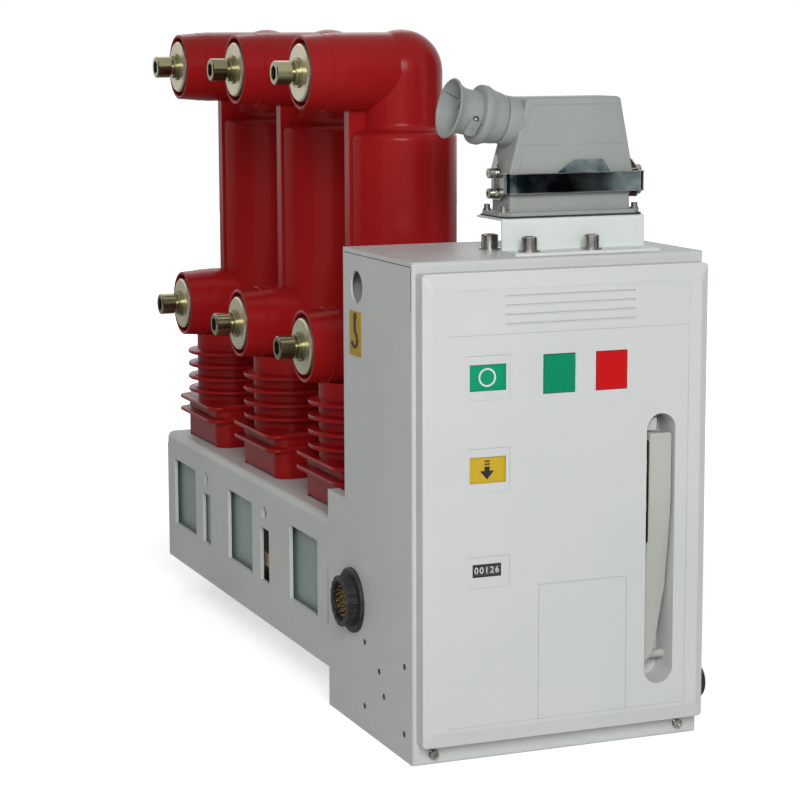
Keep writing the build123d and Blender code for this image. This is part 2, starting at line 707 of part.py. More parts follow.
def push_button(left):
    """A rectangular push button with a round stem through the front sheet."""
    front = -COVER_DEPTH + PANEL_RECESS - BUTTON_PROUD
    top = BUTTON_BOTTOM + BUTTON_HEIGHT
    cap = in_box(left, left + BUTTON_WIDTH, front, front + BUTTON_THICKNESS, BUTTON_BOTTOM, top)
    cap = fillet(cap.edges().filter_by(Axis.Y), BUTTON_CORNER)
    cap = fillet(cap.faces().sort_by(Axis.Y)[0].edges(), BUTTON_FACE_EDGE)
    x = box_left + left + BUTTON_WIDTH / 2
    z = BOX_BOTTOM + BUTTON_BOTTOM + BUTTON_HEIGHT / 2
    back = BOX_FRONT + front + BUTTON_THICKNESS
    return cap + rod_y(x, back, back + BUTTON_STEM_LENGTH, z, BUTTON_STEM_R)


def lever_side(inset):
    """Side view of the charging lever, in Y and Z from its pivot."""
    face = -COVER_DEPTH + (COVER_DEPTH - LEVER_FACE) - LEVER_PIVOT_BACK
    top = LEVER_TOP - LEVER_PIVOT_HEIGHT - inset
    knee = LEVER_KNEE - LEVER_PIVOT_HEIGHT
    ankle = LEVER_ANKLE - LEVER_PIVOT_HEIGHT
    front = face + inset
    ankle_front = face + LEVER_ANKLE_SET + inset
    back = face + LEVER_CHEEK
    points = [
        (front, top),
        (front, knee),
        (ankle_front, ankle),
        (-LEVER_BOSS_R + inset, 0),
        (LEVER_BOSS_R, 0),
        (ankle_front + LEVER_CHEEK - inset, ankle),
        (back, knee),
        (back, top),
    ]
    return make_face(Polyline(*points, close=True))


def charging_lever():
    """The pressed lever: a channel in section, bent back to its pivot."""
    plane = Plane(origin=(0, 0, 0), x_dir=(0, 1, 0), z_dir=(1, 0, 0))
    outer = extrude(plane * lever_side(0), LEVER_WIDTH / 2, both=True)
    inner_width = LEVER_WIDTH - 2 * LEVER_SHEET
    inner = extrude(plane * lever_side(LEVER_SHEET), inner_width / 2, both=True)
    corners = outer.edges().filter_by(Axis.X).group_by(Axis.Z)[-1]
    outer = fillet(corners.sort_by(Axis.Y)[0], LEVER_BEND)
    boss = rod_x(-LEVER_WIDTH / 2, LEVER_WIDTH / 2, 0, 0, LEVER_BOSS_R)
    lever = outer - inner + boss
    lever -= rod_x(-LEVER_WIDTH / 2, LEVER_WIDTH / 2, 0, 0, LEVER_PIN_R + PIN_FIT)
    return lever_place() * lever


def lever_place():
    """Where the charging lever's pivot lies."""
    return Pos(box_left + POCKET_CENTRE, BOX_FRONT + LEVER_PIVOT_BACK, BOX_BOTTOM + LEVER_PIVOT_HEIGHT)


def lever_pin():
    """The pin across the pocket that carries the charging lever."""
    half = POCKET_WIDTH / 2
    return lever_place() * rod_x(-half, half, 0, 0, LEVER_PIN_R)


def control_socket():
    """Round black socket on the left wall, with a ribbed rim."""
    flange = rod_x(-SOCKET_FLANGE, 0, 0, 0, SOCKET_R)
    flange = fillet(flange.edges().filter_by(GeomType.CIRCLE).group_by(Axis.X)[0], SOCKET_EDGE)
    cup = rod_x(-SOCKET_CUP_DEPTH, -SOCKET_FLANGE, 0, 0, SOCKET_CUP_R)
    body = flange + cup
    for count in range(SOCKET_NOTCHES):
        angle = 2 * math.pi * count / SOCKET_NOTCHES
        y = SOCKET_CUP_R * math.cos(angle)
        z = SOCKET_CUP_R * math.sin(angle)
        body -= rod_x(-SOCKET_CUP_DEPTH, -SOCKET_FLANGE, y, z, SOCKET_PIN_R)
    body -= rod_x(-SOCKET_CUP_DEPTH, -SOCKET_CUP_DEPTH + SOCKET_BORE_DEPTH, 0, 0, SOCKET_BORE_R)
    return Pos(box_left, BOX_FRONT + SOCKET_BACK, BOX_BOTTOM + SOCKET_HEIGHT) * body


def side_plug():
    """Small round plug low on the right wall."""
    plug = rod_x(0, PLUG_REACH, 0, 0, PLUG_R)
    plug = fillet(plug.edges().filter_by(GeomType.CIRCLE).group_by(Axis.X)[-1], PLUG_EDGE)
    return Pos(box_right, BOX_FRONT + PLUG_BACK, BOX_BOTTOM + PLUG_HEIGHT) * plug


def bracket_bolts():
    """X places of the two bolts that hold the connector's bracket."""
    middle = CONNECTOR_CENTRE + BRACKET_BOLT_SHIFT
    return [middle - BRACKET_BOLT_SPACING / 2, middle + BRACKET_BOLT_SPACING / 2]


def connector_bracket():
    """A folded sheet: foot towards the front, upright, and a tray towards the back."""
    path = [
        (-BRACKET_FOOT, 0),
        (BRACKET_SHEET, 0),
        (BRACKET_SHEET, BRACKET_HEIGHT - BRACKET_SHEET),
        (BRACKET_DEPTH, BRACKET_HEIGHT - BRACKET_SHEET),
        (BRACKET_DEPTH, BRACKET_HEIGHT),
        (0, BRACKET_HEIGHT),
        (0, BRACKET_SHEET),
        (-BRACKET_FOOT, BRACKET_SHEET),
    ]
    profile = make_face(Polyline(*path, close=True))
    outer = [(BRACKET_SHEET, 0), (0, BRACKET_HEIGHT)]
    inner = [(BRACKET_SHEET, BRACKET_HEIGHT - BRACKET_SHEET), (0, BRACKET_SHEET)]
    for points, radius in ((outer, BRACKET_BEND), (inner, BRACKET_BEND - BRACKET_SHEET)):
        for point in points:
            corner = profile.vertices().sort_by_distance(Vector(point[0], point[1], 0))[0]
            profile = fillet(corner, radius)
    plane = Plane(origin=(CONNECTOR_CENTRE, bracket_front, box_top), x_dir=(0, 1, 0), z_dir=(1, 0, 0))
    bracket = extrude(plane * profile, BRACKET_WIDTH / 2, both=True)
    for x in bracket_bolts():
        hole = Pos(x, bracket_front - BRACKET_FOOT / 2, box_top + BRACKET_SHEET / 2)
        bracket -= hole * Cylinder(BRACKET_BOLT_R, BRACKET_SHEET)
    opening_length = HOUSING_LENGTH - 4 * HOUSING_WALL
    opening_width = HOUSING_WIDTH - 4 * HOUSING_WALL
    tray_hole = Pos(CONNECTOR_CENTRE, connector_middle, tray_top - BRACKET_SHEET / 2)
    bracket -= tray_hole * Box(opening_length, opening_width, BRACKET_SHEET)
    return bracket


def connector_housing():
    """The fixed half of the connector: gasket flange, body and two pivot pins."""
    place = Pos(CONNECTOR_CENTRE, connector_middle, 0)
    margin = 2 * SEAT_FLANGE_MARGIN
    flange_plan = Rectangle(BRACKET_WIDTH - margin, BRACKET_DEPTH - margin)
    flange_plan = chamfer(flange_plan.vertices(), SEAT_FLANGE_CORNER)
    flange = place * Pos(0, 0, tray_top) * extrude(flange_plan, GASKET + SEAT_FLANGE)
    draft = 2 * HOUSING_DRAFT
    plan = RectangleRounded(HOUSING_LENGTH - draft, HOUSING_WIDTH - draft, HOOD_EDGE)
    rim = RectangleRounded(HOUSING_LENGTH, HOUSING_WIDTH, HOOD_EDGE)
    body = place * loft([Pos(0, 0, seat_top) * rim, Pos(0, 0, hood_bottom) * plan], ruled=True)
    housing = flange + body
    half = HOUSING_LENGTH / 2
    reach = half + LEVER_BAR_GAP + LEVER_BAR_SHEET + PIN_PROUD
    pivot_z = seat_top + PIVOT_HEIGHT
    for side in (-1, 1):
        x0, x1 = sorted((side * (half - PIVOT_ROOT), side * reach))
        housing += place * rod_x(x0, x1, 0, pivot_z, PIVOT_R)
    return housing


def connector_hood():
    """The loose half of the connector: a tapering hood with pegs and a spigot."""
    place = Pos(CONNECTOR_CENTRE, connector_middle, hood_bottom)
    low = RectangleRounded(HOOD_LENGTH, HOOD_WIDTH, HOOD_EDGE)
    high = RectangleRounded(HOOD_TOP_LENGTH, HOOD_TOP_WIDTH, HOOD_EDGE)
    hood = loft([low, Pos(0, 0, HOOD_HEIGHT) * high], ruled=True)
    hood = fillet(hood.faces().sort_by(Axis.Z)[-1].edges(), HOOD_TOP_EDGE)
    half = HOOD_LENGTH / 2
    reach = half + LEVER_BAR_GAP + LEVER_BAR_SHEET + PIN_PROUD
    peg_z = seat_top + PIVOT_HEIGHT + PEG_HEIGHT - hood_bottom
    for side in (-1, 1):
        x0, x1 = sorted((side * (half - PEG_ROOT), side * reach))
        hood += rod_x(x0, x1, 0, peg_z, PEG_R)
    hood = place * hood
    spigot = gland_turned(rod_profile(SPIGOT_R, SPIGOT_LENGTH + SPIGOT_SINK), -SPIGOT_SINK)
    bore = gland_turned(rod_profile(GLAND_BORE_R, SPIGOT_LENGTH + HOOD_BORE_DEPTH), -HOOD_BORE_DEPTH)
    return hood + spigot - bore


def gland_place(along):
    """A place on the gland's axis, which leaves the hood's left side and rises."""
    tilt = math.radians(GLAND_TILT)
    side = HOOD_LENGTH / 2 - (HOOD_LENGTH - HOOD_TOP_LENGTH) / 2 * GLAND_RISE / HOOD_HEIGHT
    x = CONNECTOR_CENTRE - side - along * math.cos(tilt)
    z = hood_bottom + GLAND_RISE + along * math.sin(tilt)
    return Pos(x, connector_middle, z) * Rot(0, -90 + GLAND_TILT, 0)


def gland_turned(points, start):
    """A turned piece on the gland's axis, from points of radius and length."""
    face = make_face(Polyline(*points, close=True))
    return gland_place(start) * revolve(Plane.XZ * face, Axis.Z)


def rod_profile(radius, length):
    """Half section of a plain rod, as points of radius and length."""
    return [(0, 0), (radius, 0), (radius, length), (0, length)]


def cable_gland():
    """Hexagonal gland body and its ring nut."""
    hexagon = extrude(RegularPolygon(GLAND_NUT_AF / 2, 6, major_radius=False), GLAND_NUT_LENGTH)
    body = gland_place(SPIGOT_LENGTH) * hexagon
    start = SPIGOT_LENGTH + GLAND_NUT_LENGTH
    ring = [
        (0, 0),
        (GLAND_RING_R - GLAND_RING_EDGE, 0),
        (GLAND_RING_R, GLAND_RING_EDGE),
        (GLAND_RING_R, GLAND_RING_LENGTH - GLAND_RING_EDGE),
        (GLAND_RING_R - GLAND_RING_EDGE, GLAND_RING_LENGTH),
        (0, GLAND_RING_LENGTH),
    ]
    body += gland_turned(ring, start)
    length = GLAND_NUT_LENGTH + GLAND_RING_LENGTH
    return body - gland_turned(rod_profile(GLAND_BORE_R, length), SPIGOT_LENGTH)


def gland_clamp():
    """The two-part cord clamp and the open bell mouth beyond it."""
    start = SPIGOT_LENGTH + GLAND_NUT_LENGTH + GLAND_RING_LENGTH
    flare = CLAMP_LENGTH + BELL_FLARE_START
    end = CLAMP_LENGTH + BELL_LENGTH
    outer = [
        (GLAND_BORE_R, 0),
        (CLAMP_R, 0),
        (CLAMP_R, CLAMP_LENGTH),
        (CLAMP_R + BELL_WALL, flare),
        (BELL_MOUTH_R, end),
        (BELL_MOUTH_R - BELL_WALL, end),
        (CLAMP_R - BELL_WALL, flare),
        (GLAND_BORE_R, CLAMP_LENGTH),
    ]
    return gland_turned(outer, start)


def locking_lever():
    """The sprung lever that clamps the hood: a bar in front and an arm at each end."""
    half = HOUSING_LENGTH / 2 + LEVER_BAR_GAP
    outer = half + LEVER_BAR_SHEET
    pivot_z = seat_top + PIVOT_HEIGHT
    front = connector_middle - LEVER_BAR_REACH
    low = pivot_z + LEVER_BAR_RISE
    high = low + LEVER_BAR_HEIGHT
    centre = CONNECTOR_CENTRE
    bar = span(centre - outer, centre + outer, front - LEVER_BAR_SHEET, front, low, high)
    half_tab = TAB_WIDTH / 2
    tab = span(centre - half_tab, centre + half_tab, front - LEVER_BAR_SHEET, front, high, high + TAB_HEIGHT)
    tab = chamfer(tab.edges().filter_by(Axis.Y).group_by(Axis.Z)[-1], TAB_CORNER)
    lever = bar + tab
    arm_back = connector_middle + LEVER_ARM_BACK
    for side in (-1, 1):
        x0, x1 = sorted((centre + side * half, centre + side * outer))
        arm_plate = span(x0, x1, front - LEVER_BAR_SHEET, arm_back, pivot_z - LEVER_ARM_DROP, high)
        arm_plate -= rod_x(x0, x1, connector_middle, pivot_z, PIVOT_R + PIN_FIT)
        arm_plate -= rod_x(x0, x1, connector_middle, pivot_z + PEG_HEIGHT, PEG_R + PEG_CLEARANCE)
        lever += arm_plate
    return lever


def build():
    """Every piece of the breaker by its name."""
    pieces = {
        "front_panel": front_panel(),
        "left_side_wall": side_wall(-1),
        "right_side_wall": side_wall(1),
        "top_panel": top_panel(),
        "rear_panel": rear_panel(),
        "bottom_panel": bottom_panel(),
        "front_cover": front_cover(),
        "position_flag": flag(POSITION_WINDOW_BOTTOM),
        "charge_flag": flag(CHARGE_WINDOW_BOTTOM),
        "flag_guides": flag_guides(),
        "counter": counter(),
        "close_button": push_button(CLOSE_BUTTON_LEFT),
        "trip_button": push_button(TRIP_BUTTON_LEFT),
        "charging_lever": charging_lever(),
        "lever_pin": lever_pin(),
        "control_socket": control_socket(),
        "side_plug": side_plug(),
        "connector_bracket": connector_bracket(),
        "connector_housing": connector_housing(),
        "connector_hood": connector_hood(),
        "cable_gland": cable_gland(),
        "gland_clamp": gland_clamp(),
        "locking_lever": locking_lever(),
        "base_deck": base_deck(),
        "base_wall_left": base_wall(-1),
        "base_wall_right": base_wall(1),
        "base_end_wall": base_end_wall(),
        "pole_supports_left": pole_supports(-1),
        "pole_supports_right": pole_supports(1),
        "base_tie": base_tie(),
        "main_shaft": main_shaft(),
    }
    for place, rise in (("upper", upper_rise), ("lower", LOWER_TERMINAL_RISE)):
        pieces[f"{place}_contacts"] = at_poles(contact_disc(), rise)
        pieces[f"{place}_terminal_screws"] = at_poles(terminal_screw(), rise)
    casting = pole_casting()
    for number, y in enumerate(pole_rows, 1):
        pieces[f"pole_body_{number}"] = Pos(POLE_OFFSET, y, BASE_HEIGHT) * casting
    return pieces


os.makedirs("parts", exist_ok=True)
for node, shape in build().items():
    export_step(shape, f"parts/{node}.step")
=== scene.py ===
import logging
import math
from dataclasses import dataclass, field
from enum import Enum
from typing import Callable, Optional, Sequence, Union

import bmesh
import bpy
from mathutils import Matrix, Vector


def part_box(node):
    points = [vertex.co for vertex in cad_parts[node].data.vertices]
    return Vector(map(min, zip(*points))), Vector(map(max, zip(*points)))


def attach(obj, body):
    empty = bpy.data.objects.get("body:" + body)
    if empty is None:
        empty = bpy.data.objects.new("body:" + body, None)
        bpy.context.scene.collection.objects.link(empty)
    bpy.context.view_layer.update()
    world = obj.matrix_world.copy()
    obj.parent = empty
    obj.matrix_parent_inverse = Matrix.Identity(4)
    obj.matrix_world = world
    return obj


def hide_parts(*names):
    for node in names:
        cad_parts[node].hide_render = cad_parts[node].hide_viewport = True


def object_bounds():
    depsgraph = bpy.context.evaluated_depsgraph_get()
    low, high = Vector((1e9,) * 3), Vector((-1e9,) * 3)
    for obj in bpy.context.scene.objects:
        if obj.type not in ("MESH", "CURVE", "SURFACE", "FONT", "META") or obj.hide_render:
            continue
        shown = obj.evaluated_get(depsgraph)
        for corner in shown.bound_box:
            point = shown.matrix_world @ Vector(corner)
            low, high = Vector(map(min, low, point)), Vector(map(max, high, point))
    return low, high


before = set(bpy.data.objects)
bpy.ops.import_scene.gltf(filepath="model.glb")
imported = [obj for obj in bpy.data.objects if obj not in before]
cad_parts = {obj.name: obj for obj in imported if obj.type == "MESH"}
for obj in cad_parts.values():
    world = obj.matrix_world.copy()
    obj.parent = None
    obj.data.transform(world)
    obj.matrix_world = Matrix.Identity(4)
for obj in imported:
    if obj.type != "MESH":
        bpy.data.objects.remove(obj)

LOG = logging.getLogger("breaker")
MM = 0.001
CAD_BOX = [list(corner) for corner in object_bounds()]
BOX_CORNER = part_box("front_panel")[0]
Radius = Union[float, Callable[[float], float]]
Ring = tuple[Radius, float]
Socket = Union[str, int]
Spots = Sequence[Vector]
Triple = tuple[float, float, float]
Lamp = tuple[str, Triple, tuple[float, float], float]
Card = tuple[str, Triple, Triple]


class Side(Enum):
    """A direction that a fitting faces, as its outward normal and its sideways direction."""

    LEFT = ((-1, 0, 0), (0, -1, 0))
    RIGHT = ((1, 0, 0), (0, 1, 0))
    FRONT = ((0, -1, 0), (1, 0, 0))
    REAR = ((0, 1, 0), (-1, 0, 0))
    UP = ((0, 0, 1), (1, 0, 0))


class Surface(Enum):
    """The kinds of surface texture that a finish can have."""

    POWDER_COAT = "powder coat"
    MOULDED = "moulded"
    RESIN = "resin"
    PLATED = "plated"
    CASTING = "casting"


def at_box(x: float, y: float, z: float) -> Vector:
    """Turn millimetres from the box's front lower left corner into the frame's metres."""
    return BOX_CORNER + Vector((x, y, z)) * MM


def facing(origin: Vector, side: Side, turn: float = 0.0) -> Matrix:
    """Make a local frame whose Z leaves the object on a side.

    Args:
        origin: Where the local frame lies.
        side: The side that local Z points out of.
        turn: A turn about local Z, in radians.

    Returns:
        The local frame as a matrix.
    """
    return along(origin, Vector(side.value[0]), Vector(side.value[1])) @ Matrix.Rotation(turn, 4, "Z")


def along(origin: Vector, z_dir: Vector, x_dir: Vector) -> Matrix:
    """Make a local frame from its origin, its Z direction and its rough X direction."""
    z_axis = z_dir.normalized()
    y_axis = z_axis.cross(x_dir).normalized()
    x_axis = y_axis.cross(z_axis)
    turned = Matrix((x_axis, y_axis, z_axis)).transposed().to_4x4()
    return Matrix.Translation(origin) @ turned


def moved(place: Matrix, x: float, y: float, z: float) -> Matrix:
    """Shift a local frame by millimetres along its own axes."""
    return place @ Matrix.Translation(Vector((x, y, z)) * MM)


def hexagon(across_flats: float) -> Callable[[float], float]:
    """Give the radius of a hexagon as a function of the angle."""
    sixth = math.pi / 3
    return lambda angle: across_flats / 2 / math.cos((angle % sixth) - sixth / 2)


def rounded(width: float, height: float, corner: float, steps: int = 5) -> list[tuple[float, float]]:
    """Outline a rounded rectangle about the origin.

    Args:
        width: Size along local X.
        height: Size along local Y.
        corner: Corner radius.
        steps: Points in each corner.

    Returns:
        The outline's points, anticlockwise.
    """
    points = []
    for quarter in range(4):
        sign_x = 1 if quarter in (0, 3) else -1
        sign_y = 1 if quarter in (0, 1) else -1
        for step in range(steps + 1):
            angle = (quarter + step / steps) * math.pi / 2
            x = sign_x * (width / 2 - corner) + corner * math.cos(angle)
            y = sign_y * (height / 2 - corner) + corner * math.sin(angle)
            points.append((x, y))
    return points


def node_of(tree: bpy.types.NodeTree, kind: str, **values: object) -> bpy.types.ShaderNode:
    """Add a shader node.

    Args:
        tree: The tree that it joins.
        kind: Its type, after "ShaderNode".
        values: Its settings in small letters, and the values of its inputs with "_" for a space.

    Returns:
        The node.
    """
    node = tree.nodes.new("ShaderNode" + kind)
    for key, value in values.items():
        if key.islower():
            setattr(node, key, value)
        else:
            node.inputs[key.replace("_", " ")].default_value = value
    return node


def link(source: bpy.types.ShaderNode, output: Socket, target: bpy.types.ShaderNode, label: Socket) -> None:
    """Link an output of one node to an input of another."""
    source.id_data.links.new(source.outputs[output], target.inputs[label])


class Form:
    """A mesh under construction, in metres, that collects turned and extruded shapes."""

    def __init__(self) -> None:
        """Start with an empty mesh."""
        self.mesh = bmesh.new()

    def skin(self, rows: Sequence[Spots], lids: bool = True) -> "Form":
        """Add faces through rows of points.

        Args:
            rows: Closed rows with the same number of points, or with one point at a tip.
            lids: Whether the first and last rows are closed by a face.

        Returns:
            This form.
        """
        made = [[self.mesh.verts.new(spot) for spot in row] for row in rows]
        for low, high in zip(made, made[1:]):
            count = max(len(low), len(high))
            for step in range(count):
                after = (step + 1) % count
                corners = [low[step % len(low)], low[after % len(low)]]
                corners += [high[after % len(high)], high[step % len(high)]]
                self.mesh.faces.new(list(dict.fromkeys(corners)))
        if lids:
            self.mesh.faces.new(list(reversed(made[0])))
            self.mesh.faces.new(made[-1])
        return self

    def turn(self, rings: Sequence[Ring], place: Matrix, steps: int = 48) -> "Form":
        """Add a turned shape.

        Args:
            rings: Radius and height of each ring in millimetres, from one end to the other.
            place: Local frame of the axis.
            steps: Points round each ring.

        Returns:
            This form.
        """
        rows = []
        for radius, height in rings:
            row = []
            for step in range(steps if radius else 1):
                angle = 2 * math.pi * step / steps
                length = radius(angle) if callable(radius) else radius
                spot = Vector((length * math.cos(angle), length * math.sin(angle), height))
                row.append(place @ (spot * MM))
            rows.append(row)
        return self.skin(rows, lids=False)

    def plate(
        self,
        outline: Sequence[tuple[float, float]],
        height: float,
        place: Matrix,
        base: float = 0.0,
        edge: float = 0.0,
    ) -> "Form":
        """Add an extruded outline whose upper edge may be chamfered.

        Args:
            outline: Points in millimetres, anticlockwise.
            height: Height of the upper face.
            place: Local frame of the outline.
            base: Height of the lower face.
            edge: Size of the upper edge's chamfer.

        Returns:
            This form.
        """
        middle = Vector((sum(p[0] for p in outline), sum(p[1] for p in outline), 0)) / len(outline)
        levels = [(base, 0.0), (height - edge, 0.0)]
        if edge:
            levels.append((height, edge))
        rows = []
        for level, inset in levels:
            row = []
            for x, y in outline:
                inward = middle - Vector((x, y, 0))
                spot = Vector((x, y, level)) + inward.normalized() * inset
                row.append(place @ (spot * MM))
            rows.append(row)
        return self.skin(rows)

    def band(self, path: Spots, radius: float, steps: int = 10) -> "Form":
        """Add a round bar that follows points in metres.

        Args:
            path: The bar's middle line.
            radius: The bar's radius in millimetres.
            steps: Points round the bar.

        Returns:
            This form.
        """
        rows = []
        for index, spot in enumerate(path):
            heading = path[min(index + 1, len(path) - 1)] - path[max(index - 1, 0)]
            side = Vector((0, 0, 1)) if abs(heading.normalized().z) < 0.9 else Vector((0, 1, 0))
            place = along(spot, heading, side)
            row = []
            for step in range(steps):
                angle = 2 * math.pi * step / steps
                row.append(place @ (Vector((math.cos(angle), math.sin(angle), 0)) * radius * MM))
            rows.append(row)
        return self.skin(rows)

    def publish(
        self,
        name: str,
        finish: "Finish",
        slot: str,
        body: str = "root",
        stands_for: Optional[str] = None,
    ) -> None:
        """slot: The record's material slot; not used.
            body: The CAD body that carries it.
            stands_for: The CAD node that it replaces, if any.
        """
        bmesh.ops.recalc_face_normals(self.mesh, faces=self.mesh.faces)
        data = bpy.data.meshes.new(name)
        self.mesh.to_mesh(data)
        self.mesh.free()
        piece = bpy.data.objects.new(name, data)
        bpy.context.scene.collection.objects.link(piece)
        data.materials.append(finish.material(GROUPS))
        data.polygons.foreach_set("use_smooth", [True] * len(data.polygons))
        data.set_sharp_from_angle(angle=math.radians(32))
        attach(piece, body)
        if stands_for:
            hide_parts(stands_for)
        LOG.info("piece %s on %s, %d faces", name, body, len(data.polygons))


class SurfaceGroups:
    """Shader node groups that several finishes share, each built once."""

    def __init__(self) -> None:
        """Build the groups."""
        self.made: dict[str, bpy.types.Material] = {}
        self.grain = self._grain()
        self.wear = self._wear()
        self.brushing = self._brushing()

    @staticmethod
    def _new(
        name: str, inputs: dict[str, object], outputs: Sequence[str]
    ) -> tuple[bpy.types.NodeTree, bpy.types.Node, bpy.types.Node]:
        """Start a node group with its sockets.

        Args:
            name: The group's name.
            inputs: Default value of each input: None on a vector, four numbers on a colour.
            outputs: Name of each output, of which only Color is a colour.

        Returns:
            The group, its input node and its output node.
        """
        group = bpy.data.node_groups.new(name, "ShaderNodeTree")
        for label, value in inputs.items():
            kind = "Vector" if value is None else "Color" if isinstance(value, tuple) else "Float"
            socket = group.interface.new_socket(name=label, in_out="INPUT", socket_type="NodeSocket" + kind)
            if value is not None:
                socket.default_value = value
        for label in outputs:
            kind = "NodeSocketColor" if label == "Color" else "NodeSocketFloat"
            group.interface.new_socket(name=label, in_out="OUTPUT", socket_type=kind)
        return group, group.nodes.new("NodeGroupInput"), group.nodes.new("NodeGroupOutput")

    def _grain(self) -> bpy.types.NodeTree:
        """Fine surface grain with slow colour and gloss variation over it; on the dark steel the slow colour
        blend is a painted reflection.
        """
        inputs = {"Vector": None, "Color": (0.8, 0.8, 0.8, 1), "Tint": (0.7, 0.7, 0.7, 1)}
        inputs |= {"Roughness": 0.5, "Gloss Span": 0.1, "Grain Scale": 900.0, "Broad Scale": 7.0}
        group, start, end = self._new("fine_grain", inputs, ("Color", "Roughness", "Height"))
        fine = node_of(group, "TexNoise", Detail=2.0)
        broad = node_of(group, "TexNoise", Detail=4.0)
        blend = node_of(group, "Mix", data_type="RGBA")
        spread = node_of(group, "MapRange", From_Min=0.35, From_Max=0.68)
        gloss = node_of(group, "Math", operation="MULTIPLY_ADD")
        link(start, "Vector", fine, "Vector")
        link(start, "Vector", broad, "Vector")
        link(start, "Grain Scale", fine, "Scale")
        link(start, "Broad Scale", broad, "Scale")
        link(broad, "Fac", spread, "Value")
        link(spread, "Result", blend, "Factor")
        link(start, "Color", blend, 6)
        link(start, "Tint", blend, 7)
        link(spread, "Result", gloss, 0)
        link(start, "Gloss Span", gloss, 1)
        link(start, "Roughness", gloss, 2)
        link(blend, 2, end, "Color")
        link(gloss, 0, end, "Roughness")
        link(fine, "Fac", end, "Height")
        return group

    def _wear(self) -> bpy.types.NodeTree:
        """Scattered small specks and rubs, such as dust and handling leave."""
        inputs = {"Vector": None, "Color": (0.8, 0.8, 0.8, 1), "Dust": (0.5, 0.48, 0.44, 1), "Amount": 0.2}
        group, start, end = self._new("dust_and_rubs", inputs, ("Color", "Mask"))
        specks = node_of(group, "TexNoise", Scale=60.0, Detail=8.0, Roughness=0.72)
        sift = node_of(group, "MapRange", From_Min=0.56, From_Max=0.82)
        share = node_of(group, "Math", operation="MULTIPLY")
        blend = node_of(group, "Mix", data_type="RGBA")
        link(start, "Vector", specks, "Vector")
        link(specks, "Fac", sift, "Value")
        link(sift, "Result", share, 0)
        link(start, "Amount", share, 1)
        link(share, 0, blend, "Factor")
        link(start, "Color", blend, 6)
        link(start, "Dust", blend, 7)
        link(blend, 2, end, "Color")
        link(share, 0, end, "Mask")
        return group

    def _brushing(self) -> bpy.types.NodeTree:
        """Fine parallel lines of drawn or plated metal."""
        inputs = {"Vector": None, "Roughness": 0.3, "Gloss Span": 0.15, "Line Scale": 300.0}
        group, start, end = self._new("drawn_lines", inputs, ("Roughness", "Height"))
        stretch = node_of(group, "Mapping", Scale=(0.15, 1.0, 1.0))
        lines = node_of(group, "TexNoise", Detail=3.0)
        gloss = node_of(group, "Math", operation="MULTIPLY_ADD")
        link(start, "Vector", stretch, "Vector")
        link(stretch, "Vector", lines, "Vector")
        link(start, "Line Scale", lines, "Scale")
        link(lines, "Fac", gloss, 0)
        link(start, "Gloss Span", gloss, 1)
        link(start, "Roughness", gloss, 2)
        link(gloss, 0, end, "Roughness")
        link(lines, "Fac", end, "Height")
        return group


@dataclass(frozen=True)
class Finish:
    """One finish of the breaker: colour, gloss and texture, made into a material once."""

    name: str
    color: tuple[float, float, float]
    # The second colour of the slow blend: a random tone, except on the dark steel, where it is a painted
    # reflection.
    tint: tuple[float, float, float]
    surface: Surface
    roughness: float = 0.4
    gloss_span: float = 0.08
    metallic: float = 0.0
    grain_scale: float = 900.0
    grain_depth: float = 0.05
    dust: float = 0.12
    specular: float = 0.3
    broad_scale: float = 7.0

    def material(self, groups: SurfaceGroups) -> bpy.types.Material:
        """Build the finish's material, or return the one that was built before.

        Args:
            groups: The shared shader groups.

        Returns:
            The material.
        """
        if self.name in groups.made:
            return groups.made[self.name]
        made = bpy.data.materials.new(self.name)
        groups.made[self.name] = made
        made.use_nodes = True
        tree = made.node_tree
        shader = tree.nodes["Principled BSDF"]
        shader.inputs["Metallic"].default_value = self.metallic
        shader.inputs["Specular IOR Level"].default_value = self.specular
        place = node_of(tree, "TexCoord")
        grain = node_of(
            tree, "Group", node_tree=groups.grain, Color=(*self.color, 1), Tint=(*self.tint, 1),
            Roughness=self.roughness, Gloss_Span=self.gloss_span, Grain_Scale=self.grain_scale,
            Broad_Scale=self.broad_scale,
        )
        wear = node_of(tree, "Group", node_tree=groups.wear, Amount=self.dust)
        bump = node_of(tree, "Bump", Strength=0.5, Distance=self.grain_depth * MM)
        link(place, "Object", grain, "Vector")
        link(place, "Object", wear, "Vector")
        link(grain, "Color", wear, "Color")
        link(wear, "Color", shader, "Base Color")
        link(bump, "Normal", shader, "Normal")
        texture = grain
        if self.surface is Surface.PLATED:
            texture = node_of(
                tree, "Group", node_tree=groups.brushing, Roughness=self.roughness,
                Gloss_Span=self.gloss_span, Line_Scale=self.grain_scale,
            )
            link(place, "Object", texture, "Vector")
        link(texture, "Roughness", shader, "Roughness")
        link(texture, "Height", bump, "Height")
        return made


COAT, MOULD, PLATE = Surface.POWDER_COAT, Surface.MOULDED, Surface.PLATED
WHITE_PAINT = Finish("white_powder_coat", (0.62, 0.64, 0.62), (0.59, 0.61, 0.59), COAT, 0.38, 0.06)
# A lighter copy of the white powder coat for the connector bracket: painted light that brightens the bracket.
LIT_BRACKET_PAINT = Finish("bracket_coat_painted_light", (0.74, 0.78, 0.76), (0.71, 0.75, 0.73), COAT, 0.38, 0.06)
BASE_PAINT = Finish("base_powder_coat", (0.63, 0.66, 0.62), (0.58, 0.61, 0.58), COAT, 0.42, 0.08)
LEVER_PAINT = Finish("lever_stove_paint", (0.50, 0.51, 0.47), (0.46, 0.47, 0.43), COAT, 0.32, 0.1)
LINER_SHEET = Finish("liner_sheet", (0.34, 0.43, 0.42), (0.28, 0.36, 0.355), COAT, 0.35, 0.1)
COVER_MOULDING = Finish(
    "cover_moulding", (0.64, 0.66, 0.65), (0.61, 0.635, 0.63), MOULD, 0.46, 0.05,
    grain_scale=1500.0, grain_depth=0.03,
)
